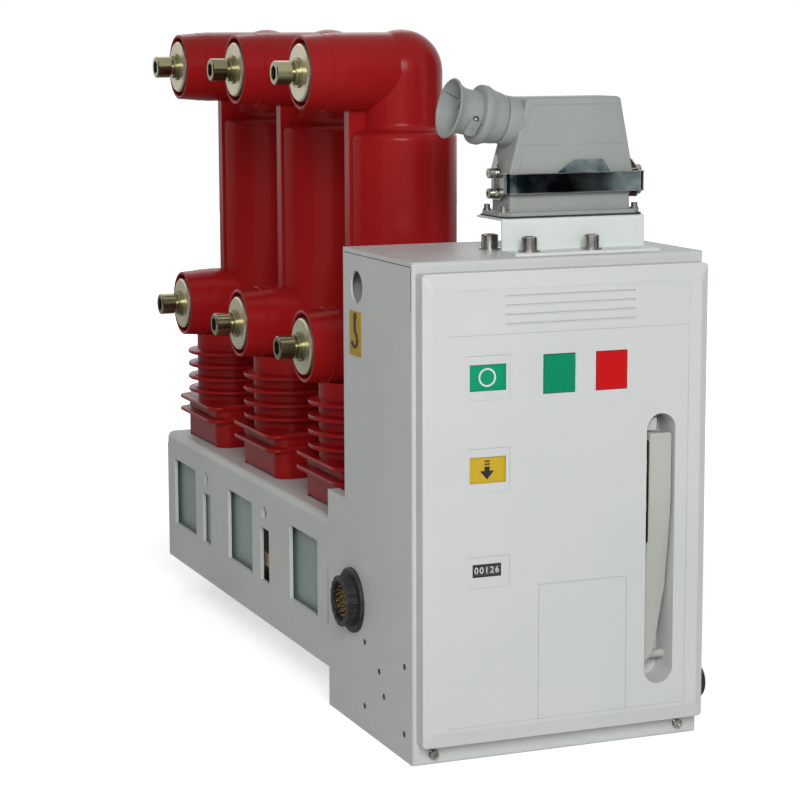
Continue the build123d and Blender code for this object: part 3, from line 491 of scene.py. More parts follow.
RED_RESIN = Finish(
    "red_resin", (0.34, 0.010, 0.011), (0.28, 0.007, 0.008), Surface.RESIN, 0.22, 0.05,
    grain_scale=420.0, grain_depth=0.01, dust=0.0, specular=0.12,
)
GREY_CASTING = Finish(
    "grey_casting", (0.34, 0.365, 0.345), (0.30, 0.325, 0.31), Surface.CASTING, 0.42, 0.1,
    grain_scale=700.0, grain_depth=0.08,
)
SILVER = Finish("silver_plating", (0.62, 0.58, 0.44), (0.50, 0.46, 0.33), PLATE, 0.28, 0.2, 0.9, 260.0)
YELLOW_ZINC = Finish("yellow_zinc", (0.34, 0.32, 0.19), (0.16, 0.15, 0.08), PLATE, 0.16, 0.14, 1.0, 320.0)
BRIGHT_ZINC = Finish(
    "bright_zinc", (0.50, 0.49, 0.45), (0.24, 0.23, 0.21), PLATE, 0.14, 0.14, 1.0, 300.0, broad_scale=60.0
)
# Dark polished steel whose slow blend from its colour down to a near-black tint is a painted reflection.
DARK_STEEL_WITH_REFLECTION = Finish(
    "dark_steel_painted_reflection", (0.26, 0.32, 0.33), (0.016, 0.026, 0.032), PLATE, 0.08, 0.08, 1.0, 90.0,
    broad_scale=34.0,
)
BRASS = Finish("brass_pins", (0.62, 0.42, 0.16), (0.50, 0.32, 0.12), PLATE, 0.22, 0.15, 1.0, 260.0)
DARK_GREY = Finish("dark_grey_moulding", (0.06, 0.065, 0.07), (0.05, 0.05, 0.055), MOULD, 0.5)
BLACK_MOULDING = Finish("black_moulding", (0.018, 0.018, 0.018), (0.03, 0.03, 0.03), MOULD, 0.42, 0.1)
GREEN_BUTTON = Finish(
    "green_button", (0.003, 0.27, 0.125), (0.002, 0.25, 0.115), MOULD, 0.35, dust=0.0, specular=0.1
)
RED_BUTTON = Finish(
    "red_button", (0.60, 0.008, 0.010), (0.55, 0.007, 0.009), MOULD, 0.35, dust=0.0, specular=0.1
)
GREEN_FIELD = Finish(
    "green_field", (0.005, 0.33, 0.16), (0.004, 0.30, 0.14), MOULD, 0.5, 0.05, dust=0.0, specular=0.1
)
YELLOW_FIELD = Finish("yellow_field", (0.62, 0.42, 0.02), (0.56, 0.38, 0.02), MOULD, 0.5, 0.05)
SIGN_YELLOW = Finish("sign_yellow", (0.52, 0.33, 0.02), (0.47, 0.29, 0.02), MOULD, 0.45)
WHITE_MARK = Finish("white_mark", (0.75, 0.76, 0.75), (0.70, 0.71, 0.70), MOULD, 0.5, 0.05)
BEIGE_PART = Finish("beige_moulding", (0.45, 0.36, 0.24), (0.40, 0.32, 0.21), MOULD, 0.5)

GROUPS = SurfaceGroups()
FINISHED_NODES = {
    WHITE_PAINT: "front_panel left_side_wall right_side_wall top_panel rear_panel bottom_panel",
    LIT_BRACKET_PAINT: "connector_bracket",
    COVER_MOULDING: "front_cover",
    GREEN_FIELD: "position_flag",
    YELLOW_FIELD: "charge_flag",
    BLACK_MOULDING: "flag_guides counter control_socket side_plug",
    GREEN_BUTTON: "close_button",
    RED_BUTTON: "trip_button",
    LEVER_PAINT: "charging_lever lever_pin",
    GREY_CASTING: "connector_housing connector_hood cable_gland gland_clamp",
    DARK_STEEL_WITH_REFLECTION: "locking_lever",
    BASE_PAINT: "base_deck base_wall_left base_wall_right base_end_wall base_tie"
    " pole_supports_left pole_supports_right",
    BRIGHT_ZINC: "main_shaft",
    SILVER: "upper_contacts lower_contacts",
    YELLOW_ZINC: "upper_terminal_screws lower_terminal_screws",
    RED_RESIN: "pole_body_1 pole_body_2 pole_body_3",
}


class Assembly:
    """What the sub-assemblies share: their fastener."""

    @staticmethod
    def screw(form: Form, place: Matrix, radius: float, height: float, washer: float) -> None:
        """Add a socket head screw with a washer below it.

        Args:
            form: The form that the screw joins.
            place: Local frame of the screw, on the surface that it clamps.
            radius: Radius of the head.
            height: Height of the head.
            washer: Radius of the washer.
        """
        thin = 1.5
        edge = radius * 0.12
        socket = hexagon(radius * 1.15)
        form.turn([(radius * 0.5, 0), (washer, 0), (washer, thin), (radius * 0.5, thin)], place, 36)
        head = [
            (radius, thin),
            (radius, thin + height - edge),
            (radius - edge, thin + height),
            (socket, thin + height),
            (socket, thin + height * 0.4),
            (0, thin + height * 0.4),
        ]
        form.turn(head, place, 36)


class CarriedNodes:
    """The CAD nodes, which keep their shape and take their finishes."""

    def dress(self) -> None:
        """Give every CAD node its finish."""
        finishes = {name: finish for finish, names in FINISHED_NODES.items() for name in names.split()}
        for name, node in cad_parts.items():
            node.data.materials.clear()
            node.data.materials.append(finishes[name].material(GROUPS))
            LOG.info("node %s takes %s", name, finishes[name].name)


@dataclass
class MechanismBox(Assembly):
    """Fittings on the sheet box: screws, black discs of painted shade at the small holes, and the lifting
    sign.
    """

    holes: tuple[tuple[float, float], ...] = (
        (122.7, 89.4),
        (123.7, 25.4),
        (20.6, 90.4),
        (21.8, 25.4),
        (84.9, 69.6),
        (72.8, 47.9),
    )
    hole_radius: float = 2.6
    front_screws: tuple[tuple[float, float], ...] = ((20.0, 10.6), (275.0, 11.2))
    sign_centre: tuple[float, float] = (142.2, 387.5)
    sign_size: tuple[float, float] = (30.5, 43.0)
    sign_thickness: float = 0.5
    wall_depth: float = 175.0
    wall_height: float = 468.0
    seam_drop: float = 4.5
    seam_inset: float = 3.0
    seam_length: float = 40.0

    def build(self) -> None:
        """Build the box's fittings."""
        self._small_hole_shade()
        self._screws()
        self._sign()
        self._seams()

    def _small_hole_shade(self) -> None:
        """Black discs on the left wall, each with a thin rim: painted shade where the small holes stand."""
        form = Form()
        radius = self.hole_radius
        for y, z in self.holes:
            rings = [(radius + 0.5, 0), (radius + 0.5, 0.12), (radius, 0.12), (0, 0.12)]
            form.turn(rings, facing(at_box(0, y, z), Side.LEFT), 24)
        form.publish("box_small_hole_shade", BLACK_MOULDING, "box_paint")

    def _screws(self) -> None:
        """Two screws low on the front panel."""
        form = Form()
        for x, z in self.front_screws:
            self.screw(form, facing(at_box(x, 0, z), Side.FRONT), 4.2, 3.5, 5.0)
        form.publish("front_panel_screws", BRIGHT_ZINC, "zinc_steel")

    def _seams(self) -> None:
        """The joint lines where the top panel and the front panel lap the left wall."""
        form = Form()
        top, front = self.seam_drop, self.seam_inset
        long = facing(at_box(0, self.wall_depth / 2, self.wall_height - top), Side.LEFT)
        form.plate(rounded(self.wall_depth - 2 * front, 0.7, 0.3, 2), 0.12, long, -0.3)
        short = facing(at_box(0, front, self.wall_height - top - self.seam_length / 2), Side.LEFT)
        form.plate(rounded(0.8, self.seam_length, 0.3, 2), 0.12, short, -0.3)
        form.publish("box_seams", DARK_GREY, "box_paint")

    def _sign(self) -> None:
        """A yellow plate with a plain lifting hook."""
        width, height = self.sign_size
        y, z = self.sign_centre
        place = facing(at_box(0, y, z), Side.LEFT)
        sign = Form().plate(rounded(width, height, 1.5), self.sign_thickness, place)
        sign.publish("lifting_sign", SIGN_YELLOW, "flag_plate")
        hook = [(0.0, 15.0), (0.0, 7.0)]
        for step in range(12):
            angle = math.pi * (0.42 - step * 1.32 / 11)
            hook.append((7.0 * math.cos(angle) - 1.0, 7.0 * math.sin(angle) - 6.0))
        path = [place @ Vector((x * MM, h * MM, (self.sign_thickness + 0.1) * MM)) for x, h in hook]
        form = Form().band(path, 1.5, 8)
        form.turn([(1.5, 0), (3.4, 0), (3.4, 0.9), (1.5, 0.9)], moved(place, 0, 16.5, 0.4), 24)
        form.publish("lifting_sign_hook", BLACK_MOULDING, "black_plastic")


@dataclass
class FrontCover:
    """The flags' fields and marks behind the cover's windows, and the counter's wheels and digits."""

    pane_left: float = 49.0
    pane_width: float = 36.2
    pane_height: float = 24.3
    position_bottom: float = 350.5
    charge_bottom: float = 265.5
    flag_front: float = -15.5
    field_step: float = 27.0
    digits: str = "00126"

    def build(self) -> None:
        """Build the cover's fittings."""
        self._position_fields()
        self._charge_fields()
        self._counter_digits()

    def _field_place(self, bottom: float, level: int) -> Matrix:
        """Give the local frame at the middle of a flag's field, on its face."""
        x = self.pane_left + self.pane_width / 2
        z = bottom + self.pane_height / 2 + level * self.field_step
        return facing(at_box(x, self.flag_front, z), Side.FRONT)

    def _position_fields(self) -> None:
        """A ring on the green field and a bar on the red field above it."""
        ring = self._field_place(self.position_bottom, 0)
        form = Form().turn([(7.0, 0), (8.6, 0), (8.6, 0.25), (7.0, 0.25), (7.0, 0)], ring, 48)
        bar = self._field_place(self.position_bottom, 1)
        form.plate(rounded(3.0, 15.0, 0.8), 0.45, bar)
        form.publish("position_marks", WHITE_MARK, "flag_plate", "position_flag")
        red = Form().plate(rounded(self.pane_width, self.pane_height, 0.5), 0.2, bar)
        red.publish("position_red_field", RED_BUTTON, "flag_plate", "position_flag")

    def _charge_fields(self) -> None:
        """A black arrow on the yellow field and a spring sign on the field above it."""
        low = self._field_place(self.charge_bottom, 0)
        arrow = [(-7, -1), (0, -9), (7, -1), (2.6, -1), (2.6, 3), (-2.6, 3), (-2.6, -1)]
        form = Form().plate(arrow, 0.25, low)
        for height in (5.2, 8.0):
            form.plate(rounded(5.2, 1.4, 0.2), 0.25, moved(low, 0, height, 0))
        high = self._field_place(self.charge_bottom, 1)
        for count in range(5):
            shift = moved(high, (count - 2) * 4.2, 0, 0) @ Matrix.Rotation(0.5, 4, "Z")
            form.plate(rounded(1.4, 14.0, 0.5), 0.25, shift)
        form.publish("charge_marks", BLACK_MOULDING, "flag_plate", "charge_flag")

    def _counter_digits(self) -> None:
        """Plain digits on the counter's wheels."""
        low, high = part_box("counter")
        middle = Vector(((low.x + high.x) / 2, low.y, (low.z + high.z) / 2))
        form = Form()
        pitch = 5.2
        for count in range(len(self.digits)):
            shift = (count - (len(self.digits) - 1) / 2) * pitch
            place = facing(middle + Vector((shift * MM, 0, 0)), Side.FRONT)
            form.plate(rounded(4.8, 9.0, 0.4), 0.35, place)
        form.publish("counter_wheels", DARK_GREY, "black_plastic")
        for count, digit in enumerate(self.digits):
            shift = (count - (len(self.digits) - 1) / 2) * pitch
            curve = bpy.data.curves.new(f"counter_digit_{count + 1}", "FONT")
            curve.body = digit
            curve.size = 8.6 * MM
            curve.extrude = 0.05 * MM
            curve.align_x = "CENTER"
            curve.align_y = "CENTER"
            curve.resolution_u = 3
            written = bpy.data.objects.new(curve.name, curve)
            written.matrix_world = facing(middle + Vector((shift * MM, -0.42 * MM, 0)), Side.FRONT)
            bpy.context.scene.collection.objects.link(written)
            curve.materials.append(WHITE_MARK.material(GROUPS))
            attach(written, "root")


@dataclass
class Poles:
    """Mould marks on the three cast poles."""

    axis_x: float = -41.0
    rows: tuple[float, ...] = (-210.0, 0.0, 210.0)
    foot_level: float = 153.8
    arm_rises: tuple[float, ...] = (165.4, 440.4)
    collar_reach: float = 86.0
    arm_radius: float = 38.7
    mouth_reach: float = 108.0
    mouth_radius: float = 35.2
    body_radius: float = 57.0
    seam_bottom: float = 132.0
    seam_top: float = 370.0

    def build(self) -> None:
        """Build the marks of each pole."""
        for number, row in enumerate(self.rows, 1):
            self._collars(number, row)
            self._seam(number, row)

    def _collars(self, number: int, row: float) -> None:
        """A step ring round each arm and a rounded rim at its mouth.

        Args:
            number: The pole's number.
            row: The pole's place along Y.
        """
        form = Form()
        for rise in self.arm_rises:
            centre = Vector((self.axis_x, row, self.foot_level + rise)) * MM
            place = facing(centre, Side.LEFT)
            radius = self.arm_radius
            step = [(radius - 1, -1.6), (radius + 0.2, -0.9), (radius + 0.2, 0.3), (radius - 1.2, 1.2)]
            form.turn([(r, h + self.collar_reach) for r, h in step], place, 72)
            rim = []
            for count in range(9):
                angle = math.pi * count / 8
                radius = self.mouth_radius + 1.6 * math.cos(angle)
                rim.append((radius, self.mouth_reach - 0.4 + 1.2 * math.sin(angle)))
            form.turn(rim, place, 72)
        form.publish(f"pole_{number}_arm_rings", RED_RESIN, "red_epoxy")

    def _seam(self, number: int, row: float) -> None:
        """The parting line down the front and back of the body.

        Args:
            number: The pole's number.
            row: The pole's place along Y.
        """
        form = Form()
        for side in (Side.FRONT, Side.REAR):
            outward = Vector(side.value[0])
            middle = (self.seam_bottom + self.seam_top) / 2
            centre = (Vector((self.axis_x, row, self.foot_level + middle)) + outward * self.body_radius) * MM
            height = self.seam_top - self.seam_bottom
            form.plate(rounded(1.4, height, 0.6, 3), 0.35, facing(centre, side), -0.6, 0.25)
        form.publish(f"pole_{number}_parting_line", RED_RESIN, "red_epoxy")


@dataclass
class Base(Assembly):
    """What shows through the base's windows, slots and screw holes."""

    wall_face: float = 146.0
    rows: tuple[float, ...] = (-210.0, 0.0, 210.0)
    window_shift: float = 14.0
    window_width: float = 86.0
    window_height: float = 79.6
    sill: float = 44.2
    slot_shift: float = -71.5
    slot_height: float = 59.0
    screw_height: float = 120.2
    liner_depth: float = 9.0
    liner_thickness: float = 1.5

    def build(self) -> None:
        """Build both sides of the base."""
        for side in (Side.LEFT, Side.RIGHT):
            self._liners(side)
            self._links(side)
            self._screws(side)

    def _place(self, side: Side, row: float, height: float, depth: float) -> Matrix:
        """Give a local frame on a plane behind one of the walls.

        Args:
            side: Which wall.
            row: The place along Y, in millimetres.
            height: The place along Z.
            depth: How far behind the wall's face.

        Returns:
            The local frame.
        """
        outward = side.value[0][0]
        spot = Vector((outward * (self.wall_face - depth), row, height)) * MM
        return facing(spot, side)

    def _liners(self, side: Side) -> None:
        """A smooth grey sheet behind each window."""
        form = Form()
        for row in self.rows:
            low = row + self.window_shift - self.window_width / 2 - 8
            high = row + self.window_shift + self.window_width / 2 + 26
            place = self._place(side, (low + high) / 2, self.sill + self.window_height / 2, self.liner_depth)
            outline = rounded(high - low, self.window_height + 16, 2)
            form.plate(outline, 0, place, -self.liner_thickness)
        slot_y = self.rows[2] + self.slot_shift + 9
        slot_z = self.sill + self.slot_height / 2
        outline = rounded(44, self.slot_height + 12, 2)
        form.plate(outline, 0, self._place(side, slot_y, slot_z, self.liner_depth - 3), -self.liner_thickness)
        name = f"window_liners_{side.name.lower()}"
        form.publish(name, LINER_SHEET, "base_sheet")

    def _links(self, side: Side) -> None:
        """The black insulating link and its pale guide behind each of the first two slots."""
        dark, pale = Form(), Form()
        for row in self.rows[:2]:
            middle = row + self.slot_shift + 9
            centre = self.sill + self.slot_height / 2
            back = self._place(side, middle, centre, self.liner_depth)
            dark.plate(rounded(44, self.slot_height + 12, 2), 0, back, -3)
            ahead = self._place(side, middle, centre - 9, self.liner_depth - 1.2)
            pale.plate(rounded(40, 15, 2), 0, ahead, -1, 0.4)
        name = side.name.lower()
        dark.publish(f"slot_links_{name}", BLACK_MOULDING, "black_plastic")
        pale.publish(f"slot_link_guides_{name}", BEIGE_PART, "black_plastic")

    def _screws(self, side: Side) -> None:
        """A screw head inside each round hole above a slot, with a dark grey sheet behind it as painted
        shade.
        """
        form, shade = Form(), Form()
        for row in self.rows:
            place = self._place(side, row + self.slot_shift + 12.0, self.screw_height - 2.0, 6.4)
            self.screw(form, place, 4.4, 1.4, 6.2)
            # A dark grey sheet behind each hole: painted shade.
            back = self._place(side, row + self.slot_shift + 14.0, self.screw_height, 6.5)
            shade.plate(rounded(46, 26, 2), 0, back, -1.0)
        name = side.name.lower()
        form.publish(f"side_hole_screws_{name}", BRIGHT_ZINC, "zinc_steel")
        shade.publish(f"side_hole_shade_{name}", DARK_GREY, "base_sheet")


@dataclass
class SideFittings:
    """The insert of the round control socket and the dress of the plug."""

    insert_radius: float = 18.6
    pin_rings: tuple[tuple[float, int], ...] = ((5.0, 5), (10.0, 10), (14.6, 15))
    pin_radius: float = 0.95

    def build(self) -> None:
        """Build the socket's insert and pins, and the plug's rings."""
        low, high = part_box("control_socket")
        centre = Vector((low.x, (low.y + high.y) / 2, (low.z + high.z) / 2))
        place = facing(centre, Side.LEFT)
        depth = -6.0
        insert = Form().turn([(self.insert_radius, -9), (self.insert_radius, depth), (0, depth)], place, 48)
        rim = [(20.2, -2), (20.2, 0.2), (23.6, 0.2), (24.4, -0.8)]
        insert.turn(rim, place, 64)
        for count in range(5):
            angle = 2 * math.pi * count / 5 + 0.3
            key = moved(place @ Matrix.Rotation(angle, 4, "Z"), 18.2, 0, -4)
            insert.plate(rounded(2.6, 3.0, 0.4, 2), 4, key, -1)
        insert.publish("control_socket_insert", BLACK_MOULDING, "black_plastic")
        pins = Form()
        for radius, number in self.pin_rings:
            for count in range(number):
                angle = 2 * math.pi * count / number
                spot = moved(place, radius * math.cos(angle), radius * math.sin(angle), 0)
                pin = [(self.pin_radius, depth), (self.pin_radius, depth + 3.2), (0, depth + 3.8)]
                pins.turn(pin, spot, 10)
        pins.publish("control_socket_pins", BRASS, "zinc_steel")
        low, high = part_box("side_plug")
        centre = Vector((high.x, (low.y + high.y) / 2, (low.z + high.z) / 2))
        place = facing(centre, Side.RIGHT)
        ring = Form().turn([(17.0, -19), (18.5, -18), (18.5, -14.5), (17.0, -13.5)], place, 48)
        for count in range(3):
            level = -11.5 + count * 2.4
            ring.turn([(17.6, level - 0.8), (18.4, level), (17.6, level + 0.8)], place, 48)
        ring.publish("side_plug_rings", BRASS, "zinc_steel")


@dataclass
class ChargingLever:
    """The pressed charging lever, a channel that curves back into its pocket."""

    centre_x: float = 244.2
    half_width: float = 10.5
    right_reach: float = 12.9
    top: float = 300.0
    bottom: float = 77.0
    sheet: float = 2.0
    cheek: float = 11.0
    face_depth: float = 3.5
    sweep_start: float = 244.0
    sweep_end: float = 128.0
    sweep_depth: float = 11.0
    narrow_start: float = 149.0
    top_corner: float = 4.0
    rows: int = 48

    def build(self) -> None:
        """Build the lever with its boss, a black strip of painted shade on its left cheek, its catches, and
        the block that it rests against.
        """
        form = Form()
        heights = [self.top - self.top_corner * (1 - math.cos(count * math.pi / 12)) for count in range(6)]
        low = self.top - self.top_corner
        heights += [low - count / self.rows * (low - self.bottom) for count in range(self.rows + 1)]
        form.skin([self._section(height) for height in heights])
        middle = (self.right_reach - self.half_width) / 2
        cap = at_box(self.centre_x + middle - 1.0, -20 + self.face_depth + self.cheek / 2, self.top)
        place = along(cap, Vector((0, 0, 1)), Vector((1, 0, 0)))
        width = self.half_width + self.right_reach - 8
        form.plate(rounded(width, self.cheek - 1, 2.0), 0.0, place, -2.0, 0.4)
        boss = facing(at_box(self.centre_x, 3.0, 82.0), Side.RIGHT)
        form.turn([(4.2, -10.3), (6.4, -10.3), (6.4, -3.0), (4.2, -3.0)], boss, 36)
        form.publish("charging_lever_blade", LEVER_PAINT, "lever_paint", "charging_lever", "charging_lever")
        # A thin black strip on the left cheek: painted shade for the dark gap beside the lever.
        side_y = -20 + self.face_depth + self.cheek / 2 + 0.8
        side = facing(at_box(self.centre_x - self.half_width, side_y, 244.0), Side.LEFT)
        cheek_shade = Form().plate(rounded(8.6, 98.0, 2.0), 0.4, side)
        cheek_shade.publish("charging_lever_cheek_shade", BLACK_MOULDING, "black_plastic", "charging_lever")
        catch = Form()
        for level, length in ((24.0, 14.0), (-14.0, 9.0)):
            catch.plate(rounded(3.2, length, 1.2), 1.0, moved(side, 0, level, 0), 0.3, 0.3)
        stop = along(at_box(238.6, 2.0, self.top + 1.4), Vector((0, 0, 1)), Vector((1, 0, 0)))
        block = Form().plate(rounded(15.0, 18.0, 1.5), 12.0, stop, 0.0, 0.8)
        block.publish("lever_rest_block", WHITE_PAINT, "box_paint")
        catch.publish("charging_lever_catches", BRIGHT_ZINC, "zinc_steel", "charging_lever")

    def _depth(self, height: float) -> float:
        """Tell how deep the face lies behind the cover's front at a height."""
        share = min(max(0.0, (self.sweep_start - height) / (self.sweep_start - self.sweep_end)), 1.0)
        return self.face_depth + self.sweep_depth * share * share * (3 - 2 * share)

    def _section(self, height: float) -> list[Vector]:
        """Draw the channel's section at a height.

        Args:
            height: Height above the box's underside.

        Returns:
            The section's points in metres.
        """
        left = -self.half_width
        right = self.right_reach
        if height < self.narrow_start:
            share = (self.narrow_start - height) / (self.narrow_start - self.bottom)
            right -= 12.0 * share + 8.0 * max(0.0, share / 0.2 - 4.0) ** 3
        if height > self.top - self.top_corner:
            share = (height - self.top + self.top_corner) / self.top_corner
            cut = self.top_corner * (1 - math.sqrt(max(0.0, 1 - share ** 2)))
            left += cut * 0.4
            right -= cut
        corner = 1.8
        front = -20 + self._depth(height)
        outer, inner = [], []
        for middle_x, begin in ((left + corner, math.pi), (right - corner, 1.5 * math.pi)):
            for step in range(5):
                angle = begin + step * math.pi / 8
                bow = (math.cos(angle), math.sin(angle))
                outer.append((middle_x + corner * bow[0], front + corner + corner * bow[1]))
                thin = max(corner - self.sheet, 0.2)
                inner.append((middle_x + thin * bow[0], front + corner + thin * bow[1] + 0.2))
        outer = [(left, front + self.cheek)] + outer + [(right, front + self.cheek)]
        inner = [(left + self.sheet, front + self.cheek)] + inner + [(right - self.sheet, front + self.cheek)]
        return [at_box(self.centre_x + x, y, height) for x, y in outer + inner[::-1]]


@dataclass
class Connector(Assembly):
    """The plug connector: gasket, hood, cable gland, clamp, bell mouth and locking lever."""

    centre: Vector = field(default_factory=lambda: Vector((35.4, -425.9, 0.0)) * MM)
    tray_level: float = 462.7
    seat_level: float = 467.7
    hood_level: float = 497.7
    hood_height: float = 76.0
    hood_low: tuple[float, float, float] = (0.0, 131.6, 46.0)
    hood_high: tuple[float, float, float] = (3.3, 97.0, 42.0)
    hood_edge: float = 2.6
    hood_shoulder: float = 0.96
    gland_rise: float = 53.0
    gland_tilt: float = 12.0
    gland_bore: float = 13.0
    bell_flare: float = 5.9
    clamp_turn: float = math.radians(38)
    lug_reach: float = 20.0
    lug_rise: float = 46.2
    lever_half: float = 71.9
    lever_shift: float = 4.7
    lever_front: float = 28.0
    lever_sheet: float = 1.4
    lever_low: float = 485.2
    lever_height: float = 18.0
    pivot_level: float = 484.2
    peg_level: float = 503.2

    def build(self) -> None:
        """Build the connector's pieces."""
        self._gasket()
        self._flange_screws()
        self._bracket_screws()
        self._hood()
        self._hood_outlines()
        self._gland()
        self._clamp()
        self._locking_lever()
        self._bushes()

    def _at(self, x: float, y: float, z: float) -> Vector:
        """Turn millimetres from the connector's middle into the frame's metres."""
        return self.centre + Vector((x, y, z)) * MM

    def _gasket(self) -> None:
        """The black gasket under the fixed housing's flange."""
        place = facing(self._at(0, 0, self.tray_level), Side.UP)
        gasket = Form().plate(rounded(147.3, 56.8, 7.5), 1.5, place)
        gasket.publish("connector_gasket", BLACK_MOULDING, "black_plastic")

    def _flange_screws(self) -> None:
        """Four screws at the corners of the fixed housing's flange."""
        form = Form()
        for x in (-68.5, 68.5):
            for y in (-18.5, 18.5):
                self.screw(form, facing(self._at(x, y, self.seat_level), Side.UP, 0.4), 3.2, 4.2, 4.0)
        form.publish("connector_flange_screws", BRIGHT_ZINC, "zinc_steel")

    def _bracket_screws(self) -> None:
        """Two screws on the bracket's foot and two behind it on the box's top."""
        form = Form()
        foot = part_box("connector_bracket")[0].z
        for x in (129.9, 193.9):
            spot = Vector((at_box(x, 30.5, 0).x, at_box(x, 30.5, 0).y, foot + 2.5 * MM))
            self.screw(form, facing(spot, Side.UP, 0.3), 7.4, 12.5, 10.0)
        for x in (118.8, 246.0):
            spot = Vector((at_box(x, 95.0, 0).x, at_box(x, 95.0, 0).y, foot))
            self.screw(form, facing(spot, Side.UP, 0.1), 8.2, 13.0, 10.5)
        form.publish("bracket_screws", BRIGHT_ZINC, "zinc_steel")

    def _hood_size(self, share: float) -> Vector:
        """Give the hood's shift, length and width at a share of its height."""
        return Vector(self.hood_low).lerp(Vector(self.hood_high), share)

    def _hood_plan(self, share: float, inset: float) -> list[Vector]:
        """Draw the hood's plan at a share of its height.

        Args:
            share: From 0 at its rim to 1 at its top.
            inset: How far the plan is drawn in.

        Returns:
            The plan's points in metres.
        """
        shift, length, width = self._hood_size(share)
        outline = rounded(length - 2 * inset, width - 2 * inset, self.hood_edge, 6)
        return [self._at(shift + x, y, self.hood_level + self.hood_height * share) for x, y in outline]

    def _hood(self) -> None:
        """The hood's tapering shell with its rounded top and the boss of the gland."""
        rows = [self._hood_plan(count / 8 * self.hood_shoulder, 0) for count in range(9)]
        for count in range(1, 6):
            angle = count / 5 * math.pi / 2
            share = self.hood_shoulder + (1 - self.hood_shoulder) * math.sin(angle)
            rows.append(self._hood_plan(share, 3.0 * (1 - math.cos(angle))))
        form = Form().skin(rows)
        boss = [(12.0, -12.0), (20.0, -9.0), (23.0, 0.0), (23.2, 6.0)]
        boss += [(22.8, 12.0), (22.4, 12.6), (12.0, 12.6)]
        form.turn(boss, self._gland_place(), 64)
        form.publish("connector_hood_shell", GREY_CASTING, "connector_grey", stands_for="connector_hood")

    def _gland_place(self) -> Matrix:
        """Give the local frame of the gland's axis, from the hood's left face."""
        shift, length, _ = self._hood_size(self.gland_rise / self.hood_height)
        tilt = math.radians(self.gland_tilt)
        spot = self._at(shift - length / 2, 0, self.hood_level + self.gland_rise)
        return along(spot, Vector((-math.cos(tilt), 0, math.sin(tilt))), Vector((0, -1, 0)))

    def _hood_outlines(self) -> None:
        """The raised outlines on the hood's front and back."""
        form = Form()
        for side in (-1, 1):
            for x0, x1, z0, z1 in ((-49, 50, 38, 69), (-56, -10, 4, 32), (5, 56, 4, 32)):
                corners = [(x0, z0), (x0 * 0.92, z1), (x1 * 0.96, z1), (x1, z0)]
                for start, stop in zip(corners, corners[1:]):
                    path = []
                    for step in range(9):
                        part = step / 8
                        x = start[0] + (stop[0] - start[0]) * part
                        z = start[1] + (stop[1] - start[1]) * part
                        shift, _, width = self._hood_size(z / self.hood_height)
                        path.append(self._at(shift + x, side * (width / 2 - 0.1), self.hood_level + z))
                    form.band(path, 0.5, 6)
        form.publish("connector_hood_outlines", GREY_CASTING, "connector_grey")

    def _gland(self) -> None:
        """The gland's cone and its round ring nut."""
        place = self._gland_place()
        bore = self.gland_bore
        cone = [(bore, 13.1), (22.2, 13.1), (23.0, 13.9), (24.0, 18.0), (24.8, 23.5), (25.2, 26.0)]
        cone += [(27.0, 30.3), (27.8, 31.7), (27.9, 36.7), (27.2, 38.3), (25.0, 39.3)]
        cone += [(21.2, 39.7), (bore, 39.7)]
        form = Form().turn(cone, place, 72)
        form.publish("cable_gland_nut", GREY_CASTING, "connector_grey", stands_for="cable_gland")

    def _clamp(self) -> None:
        """The two-part clamp with its screws and the bell mouth beyond it."""
        place = self._gland_place()
        bore = self.gland_bore
        throat, flare, mouth = 21.2, 49.7, 64.2
        bell = [(bore, 39.2), (throat, 39.2), (throat, flare)]
        for count in range(1, 9):
            share = count / 8
            bell.append((throat + self.bell_flare * share ** 2.2, flare + (mouth - flare) * share))
        lip = throat + self.bell_flare
        bell += [(lip + 0.9, mouth + 0.3), (lip + 1.1, mouth + 1.3), (lip + 0.4, mouth + 2.1)]
        bell.append((lip - 1.0, mouth + 1.9))
        for count in range(8, -1, -1):
            share = count / 8
            bell.append((18.2 + (lip - 20.0) * share ** 2.2, flare - 1 + (mouth - flare) * share))
        bell.append((bore, 43.7))
        turned = place @ Matrix.Rotation(-self.clamp_turn, 4, "Z")
        form = Form().turn(bell, place, 72)
        spots = []
        upright = Matrix.Rotation(math.pi / 2, 4, "X")
        for side in (-1, 1):
            spots.append(moved(turned, side * self.lug_reach, 0, self.lug_rise) @ upright)
        for lug in spots:
            form.plate(rounded(10.0, 11.5, 2.5), 8.5, lug, -8.5, 0.8)
        form.publish("cord_clamp_bell", GREY_CASTING, "connector_grey", stands_for="gland_clamp")
        screws, lines = Form(), Form()
        for lug in spots:
            for end in (0.0, math.pi):
                head = moved(lug @ Matrix.Rotation(end, 4, "X"), 0.8, 0, 0)
                rings = [(3.0, 8.0), (3.0, 10.4), (2.6, 10.8), (1.4, 10.8), (1.2, 9.8), (0.0, 9.8)]
                screws.turn(rings, head, 24)
            lines.plate(rounded(10.4, 0.7, 0.2, 2), 0.4, lug @ Matrix.Rotation(math.pi / 2, 4, "X"), -0.4)
        screws.publish("cord_clamp_screws", BRIGHT_ZINC, "zinc_steel")
        for side in (-1, 1):
            path = []
            for step in range(7):
                share = step / 6
                radius = 18.1 + (lip - 20.0) * share ** 2.2
                level = flare - 1 + (mouth - flare) * share
                path.append(turned @ Vector((side * radius * MM, 0, level * MM)))
            lines.band(path, 0.35, 6)
        lines.publish("cord_clamp_split", DARK_GREY, "black_plastic")

